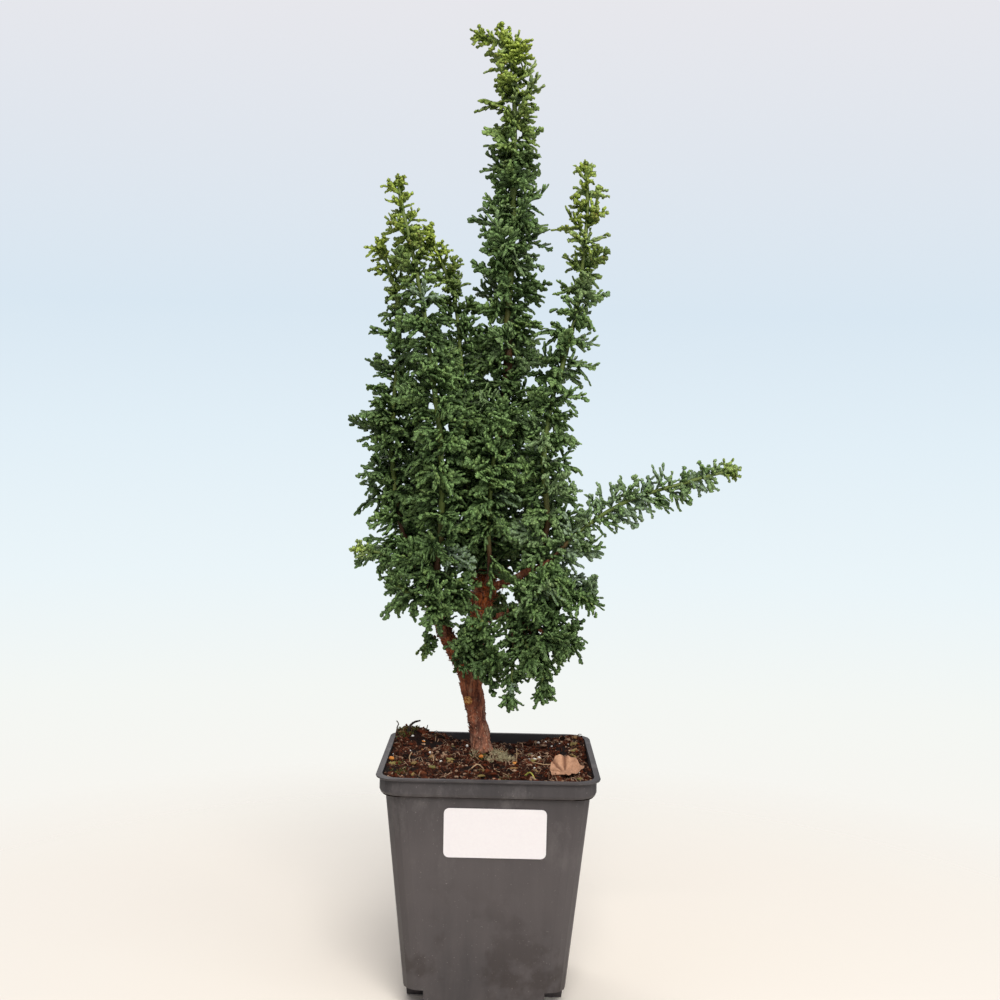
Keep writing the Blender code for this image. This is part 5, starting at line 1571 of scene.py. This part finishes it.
def build_moss(rng):
    """Patches of moss and of grey lichen, each a tuft of thin blades."""
    pieces = []
    green = coloured("moss_green", rgb(44, 50, 20), rgb(122, 124, 62), 0.9)
    grey = coloured("lichen_grey", rgb(148, 138, 104), rgb(230, 216, 176), 0.9)
    kinds = (("moss", MOSS, green, (0.8, 2.0), 0.16), ("lichen", LICHEN, grey, (1.8, 4.8), 0.12))
    for name, patches, surface, height, width in kinds:
        parts = []
        for x, y, reach, count in patches:
            for _ in range(count):
                angle, far = rng.uniform(0, 6.28), reach * math.sqrt(rng.random())
                foot_x, foot_y = x + far * math.cos(angle), y + far * math.sin(angle)
                if not inside_pot(foot_x, foot_y, 0.8):
                    continue
                foot = Vector(on_soil(foot_x, foot_y, -0.3))
                lean = Vector((rng.uniform(-1, 1), rng.uniform(-1, 1), rng.uniform(0.5, 1.4))).normalized()
                size = rng.uniform(*height)
                bow = Vector((rng.uniform(-0.3, 0.3), rng.uniform(-0.3, 0.3), 0.1)) * size * 0.6
                parts.append(blade(foot, foot + lean * size, width, bow))
        pieces.append(gather(parts, name + "_tufts", surface))
    return pieces


def build_rootlets(rng):
    """Pale rootlets, a yellow curl and the dark twigs in the moss."""
    kinds = (("rootlets", rgb(150, 116, 84), rgb(206, 176, 138), ROOTLETS),
             ("yellow_curl", rgb(156, 158, 60), rgb(206, 198, 104), YELLOW_CURLS),
             ("moss_twigs", rgb(52, 42, 34), rgb(96, 84, 66), MOSS_TWIGS))
    pieces = []
    for name, dark, light, rows in kinds:
        parts = []
        for path, radius in rows:
            spots = smooth_path([(x, y, crust_height(x, y) + z) for x, y, z in path], 1.2)
            radii = [radius * (1.1 - 0.5 * i / len(spots)) for i in range(len(spots))]
            middles = [Vector(spot) for spot in spots]
            parts.append(tube_arrays(middles, radii, 6, plain_tint(0, 0, 0, 0), 0.15, rng))
        points, quads, tris, tints = joined(parts)
        skin = coloured(name + "_skin", dark, light, 0.7)
        pieces.append(mesh_object(name, points, quads, tris, tints, (skin,)))
    return pieces


def build_litter(rng):
    """Fallen bits of scale-leaf shoots, some still green and most yellow or tan."""
    shoots = Shoots()
    for n in range(LITTER):
        x, y = FLAKES[n] if n < len(FLAKES) else soil_place(rng)
        foot = Vector(on_soil(x, y, 0.45))
        angle = rng.uniform(0, 6.28)
        out = Vector((math.cos(angle), math.sin(angle), rng.uniform(0.0, 0.35))).normalized()
        facing = Vector((rng.uniform(-0.4, 0.4), rng.uniform(-0.4, 0.4), 1))
        facing = (facing - out * facing.dot(out)).normalized()
        length = rng.uniform(*LITTER_LENGTH)
        fan(shoots, rng, foot, (out, out.cross(facing), facing), length, Vector(),
            (rng.random(), rng.random(), 0.0), small=False)
    points, quads, tris, tints = joined(shoots.arrays())
    made = Nodes("litter")
    _, age, tone, _ = tint_values(made)
    colour = made.mix(age, rgb(128, 126, 62), rgb(160, 116, 70))
    made.set(base_color=made.mix(made.span(tone, 0, 1, 0, 0.5), colour, rgb(92, 62, 36)))
    made.level("Roughness", 0.75)
    made.bump(made.noise(800, 3), 0.5, 0.0003)
    return mesh_object("fallen_shoots", points, quads, tris, tints, (made.material,))


def leaf_point(t, s):
    """A place on the crumpled leaf and how high it is in its pleats: t runs to the tip, s across."""
    shares, widths = zip(*LEAF_OUTLINE)
    width = LEAF_HALF_WIDTH * 1.1 * float(np.interp(t, shares, widths))
    width *= 1 + 0.05 * math.sin(17 * t + 2 * s)
    x = LEAF_LENGTH * (t - 0.5)
    y = width * s
    aside = LEAF_LENGTH * (LEAF_PLEAT_ROOT - t)
    away = y + LEAF_HALF_WIDTH
    angle = math.atan2(away, aside)
    pleated = 1 - smoothstep(1.3, 1.9, angle)
    height = abs(math.sin(LEAF_PLEATS * angle + 0.5)) * pleated + 0.62 * (1 - pleated)
    far = smoothstep(0.0, 6.0, math.hypot(aside, away))
    across = y / LEAF_HALF_WIDTH
    z = LEAF_RISE * across + LEAF_HOLLOW * across * across + LEAF_WAVE * math.sin(7 * t + 2 * across)
    z += LEAF_PLEAT_DEPTH * (height - 0.6) * far
    z += 0.7 * noise.noise(Vector((x, y, 3)) * 0.33) + 0.3 * noise.noise(Vector((x, y, 9)) * 0.9)
    z += 1.2 * smoothstep(0.8, 1.0, t) - 0.8 * smoothstep(0.85, 1.0, -across)
    return Vector((x, y - 0.5 * (height - 0.6) * far, z)), height * far + 0.5 * (1 - far)


def build_leaf():
    """The crumpled dry leaf: a pleated blade with a rounded foot and a pointed tip."""
    rows, columns = LEAF_ROWS, LEAF_COLUMNS
    turn = Matrix.Rotation(math.radians(LEAF_TURN), 3, "Z")
    points, tints = [], []
    for face in (1, -1):
        for i in range(rows + 1):
            for j in range(columns + 1):
                point, height = leaf_point(i / rows, 2 * j / columns - 1)
                points.append(point + Vector((0, 0, LEAF_HALF_THICKNESS * face)))
                # How high the place is in its pleat, for the leaf's painted shade and highlight
                tints.append((height, 0, 0, 0))
    count = (rows + 1) * (columns + 1)
    quads = []
    for i in range(rows):
        for j in range(columns):
            a = i * (columns + 1) + j
            quads.append((a, a + columns + 1, a + columns + 2, a + 1))
    quads += [tuple(count + k for k in reversed(face)) for face in quads]
    rim = [i * (columns + 1) for i in range(rows + 1)]
    rim += [rows * (columns + 1) + j for j in range(1, columns + 1)]
    rim += [i * (columns + 1) + columns for i in range(rows - 1, -1, -1)] + list(range(columns - 1, 0, -1))
    quads += [(i, count + i, count + j, j) for i, j in zip(rim, rim[1:] + rim[:1])]
    placed = [turn @ point for point in points]
    x, y = LEAF_CENTRE
    low = min(point.z - crust_height(point.x + x, point.y + y) for point in placed)
    placed = [(point.x + x, point.y + y, point.z - low - LEAF_SINK) for point in placed]
    leaf = mesh_object("dead_leaf_fine", np.array(placed), np.array(quads), np.zeros((0, 3), int),
                       np.array(tints), (leaf_material(),))
    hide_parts("dead_leaf")
    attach(leaf, "root")


def leaf_material():
    """Dry tan leaf: the tint's first value is how high a place is in its pleat, which paints shade in the
    creases and a highlight on the ridges.
    """
    made = Nodes("dry_leaf_fine")
    pleat_painted_light, _, _, _ = tint_values(made)
    # Painted shade down in the creases of the pleats and a painted highlight along their ridges
    colour = made.mix(made.span(pleat_painted_light, 0.05, 0.8), rgb(112, 70, 50), rgb(206, 156, 122))
    colour = made.mix(made.span(made.noise(300, 5, 0.6), 0.4, 0.7, 0.0, 0.5), colour, rgb(150, 104, 76))
    colour = made.mix(made.span(made.voronoi(420), 0.0, 0.06, 0.3, 0.0), colour, rgb(100, 64, 44))
    made.set(base_color=colour)
    made.level("Roughness", 0.65)
    made.bump(made.voronoi(420), 0.5, 0.0003)
    return made.material


def build_twig():
    """The dark curled twig that stands in the mound."""
    x, y, _ = TWIG[0]
    foot = soil_height(x, y)
    path = [(px, py, foot + pz, TWIG_RADIUS * share)
            for (px, py, pz), share in zip(TWIG, TWIG_TAPER)]
    spots = smooth_path(path, 0.8)
    rng = random.Random(6)
    middles = [Vector(spot[:3]) for spot in spots]
    radii = [spot[3] for spot in spots]
    points, quads, tris, tints = tube_arrays(middles, radii, 9, plain_tint(0, 0, 0, 0), 0.16, rng)
    twig = mesh_object("twig_fine", points, quads, tris, tints,
                       (coloured("twig_skin", rgb(30, 26, 24), rgb(70, 60, 52), 0.75),))
    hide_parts("twig")
    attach(twig, "root")


def pot_material():
    """Dark grey moulded plastic with upright drag marks, pale dust high up and dirt low down."""
    made = Nodes("pot_plastic_fine")
    place = made.add("ShaderNodeTexCoord").outputs["Object"]
    split = made.add("ShaderNodeSeparateXYZ", {"Vector": place})
    height = split.outputs["Z"]
    streak = made.noise(150, 5, 0.6, (1, 1, 0.07))
    colour = made.mix(made.span(streak, 0.34, 0.66), rgb(65, 61, 62), rgb(77, 72, 72))
    middle = made.times(made.span(height, 0.02, 0.06, 0.0, 0.4), made.span(height, 0.112, 0.08))
    colour = made.mix(middle, colour, rgb(104, 96, 95))
    cloud = made.noise(22, 4, 0.6)
    colour = made.mix(made.span(cloud, 0.4, 0.7, 0.0, 0.45), colour, rgb(94, 87, 86))
    dust = made.span(made.noise(60, 6, 0.7, (1, 1, 0.5)), 0.52, 0.68)
    dust = made.times(dust, made.span(height, 0.05, 0.112))
    colour = made.mix(made.times(dust, 0.3), colour, rgb(142, 135, 132))
    dirt = made.span(made.noise(28, 5, 0.65), 0.52, 0.6)
    dirt = made.times(dirt, made.span(height, 0.07, 0.02))
    colour = made.mix(made.times(dirt, 0.6), colour, rgb(56, 48, 46))
    speck = made.span(made.noise(1100, 2), 0.69, 0.76, 0.0, 0.5)
    colour = made.mix(speck, colour, rgb(150, 142, 138))
    inner = made.facing_in(place)
    scratch = made.span(made.noise(180, 5, 0.7, (0.25, 1, 1.2)), 0.62, 0.68, 0.0, 0.4)
    dark = made.mix(scratch, rgb(62, 60, 62), rgb(124, 120, 120))
    colour = made.mix(inner, colour, dark)
    made.set(base_color=colour, roughness=made.span(streak, 0.3, 0.7, 0.42, 0.6))
    made.level("Specular IOR Level", 0.35)
    made.bump(made.noise(420, 5, 0.6, (1, 1, 0.15)), 0.25, 0.0004)
    return made.material


def label_material():
    made = Nodes("label_blank")
    fibre = made.noise(700, 4, 0.6)
    colour = made.mix(made.span(fibre, 0.3, 0.7), rgb(247, 240, 240), rgb(250, 244, 243))
    made.set(base_color=colour)
    made.level("Roughness", 0.5)
    made.bump(fibre, 0.1, 0.0001)
    return made.material


def round_shading(obj):
    """Shades a solid's rounded corners as curves and leaves its real edges sharp."""
    obj.data.shade_smooth()
    obj.data.set_sharp_from_angle(angle=math.radians(40))


def paint(obj, surface):
    """Gives a solid that stays its finished material."""
    for slot in obj.material_slots:
        slot.material = surface
    if not obj.material_slots:
        obj.data.materials.append(surface)


def floor_material():
    """A pale matt floor that fades into the studio's own light far from the pot."""
    made = Nodes("pale_floor")
    place = made.add("ShaderNodeTexCoord").outputs["Object"]
    length = made.add("ShaderNodeVectorMath", operation="LENGTH")
    made.put(length.inputs[0], place)
    made.set(base_color=made.mix(made.noise(3, 2), rgb(254, 244, 230), rgb(255, 247, 236)))
    made.level("Roughness", 0.9)
    clear = made.add("ShaderNodeBsdfTransparent")
    blend = made.add("ShaderNodeMixShader")
    made.put(blend.inputs[0], made.span(length.outputs["Value"], *FLOOR_FADE))
    made.put(blend.inputs[1], made.shader.outputs[0])
    made.put(blend.inputs[2], clear.outputs[0])
    made.put(made.tree.nodes["Material Output"].inputs["Surface"], blend.outputs[0])
    return made.material


def build_stage():
    scene = bpy.context.scene
    scene.view_settings.view_transform = "Standard"
    points = [(FLOOR_REACH * math.cos(a), FLOOR_REACH * math.sin(a), 0.0)
              for a in (2 * math.pi * i / FLOOR_SIDES for i in range(FLOOR_SIDES))]
    mesh = bpy.data.meshes.new("floor")
    mesh.from_pydata(points, [], [tuple(range(FLOOR_SIDES))])
    floor = bpy.data.objects.new("floor", mesh)
    scene.collection.objects.link(floor)
    floor.location.z = FLOOR_DROP
    mesh.materials.append(floor_material())
    floor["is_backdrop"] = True
    build_sky(scene)
    for name, place, size, energy, colour in LAMPS:
        light = bpy.data.lights.new(name, "AREA")
        light.size = size
        light.energy = energy
        light.color = colour
        lamp = bpy.data.objects.new(name, light)
        scene.collection.objects.link(lamp)
        lamp.location = place
        lamp.rotation_euler = (Vector(LAMP_TARGET) - Vector(place)).to_track_quat("-Z", "Y").to_euler()


def build_sky(scene):
    """Pale studio surroundings, brighter to look at than the light they give."""
    world = bpy.data.worlds.new("studio")
    scene.world = world
    world.use_nodes = True
    tree = world.node_tree
    sky = tree.nodes["Background"]
    direction = tree.nodes.new("ShaderNodeTexCoord")
    split = tree.nodes.new("ShaderNodeSeparateXYZ")
    tree.links.new(direction.outputs["Generated"], split.inputs[0])
    ramp = tree.nodes.new("ShaderNodeValToRGB")
    level = tree.nodes.new("ShaderNodeMapRange")
    level.inputs["From Min"].default_value = SKY_LOW
    level.inputs["From Max"].default_value = SKY_HIGH
    tree.links.new(split.outputs["Z"], level.inputs["Value"])
    tree.links.new(level.outputs["Result"], ramp.inputs["Fac"])
    while len(ramp.color_ramp.elements) < len(SKY_STOPS):
        ramp.color_ramp.elements.new(0.5)
    for element, (height, colour) in zip(ramp.color_ramp.elements, SKY_STOPS):
        element.position = (height - SKY_LOW) / (SKY_HIGH - SKY_LOW)
        element.color = (*rgb(*colour), 1.0)
    tree.links.new(ramp.outputs["Color"], sky.inputs["Color"])
    rays = tree.nodes.new("ShaderNodeLightPath")
    strength = tree.nodes.new("ShaderNodeMapRange")
    tree.links.new(rays.outputs["Is Camera Ray"], strength.inputs["Value"])
    strength.inputs["To Min"].default_value = SKY_LIGHT
    strength.inputs["To Max"].default_value = 1.0
    tree.links.new(strength.outputs["Result"], sky.inputs["Strength"])


def build_camera():
    """The camera of the photograph, fitted to the pot's lip, collar and label."""
    lens = bpy.data.cameras.new("camera")
    lens.sensor_width = SENSOR_WIDTH
    lens.lens = LENS
    lens.clip_start = 0.01
    camera = bpy.data.objects.new("camera", lens)
    bpy.context.scene.collection.objects.link(camera)
    ahead = Vector(CAMERA_AHEAD).normalized()
    right = Vector(CAMERA_RIGHT)
    right = (right - ahead * right.dot(ahead)).normalized()
    turn = Matrix((right, right.cross(ahead), -ahead)).transposed()
    camera.matrix_world = Matrix.Translation(CAMERA_PLACE) @ turn.to_4x4()
    bpy.context.scene.camera = camera


def corners():
    return [list(corner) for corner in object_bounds()]


def main():
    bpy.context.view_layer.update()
    build_camera()
    build_foliage()
    build_wood()
    build_soil_details()
    build_leaf()
    build_twig()
    round_shading(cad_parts["pot"])
    paint(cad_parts["pot"], pot_material())
    paint(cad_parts["label"], label_material())
    paint(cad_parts["soil"], peat_material())
    build_stage()


main()
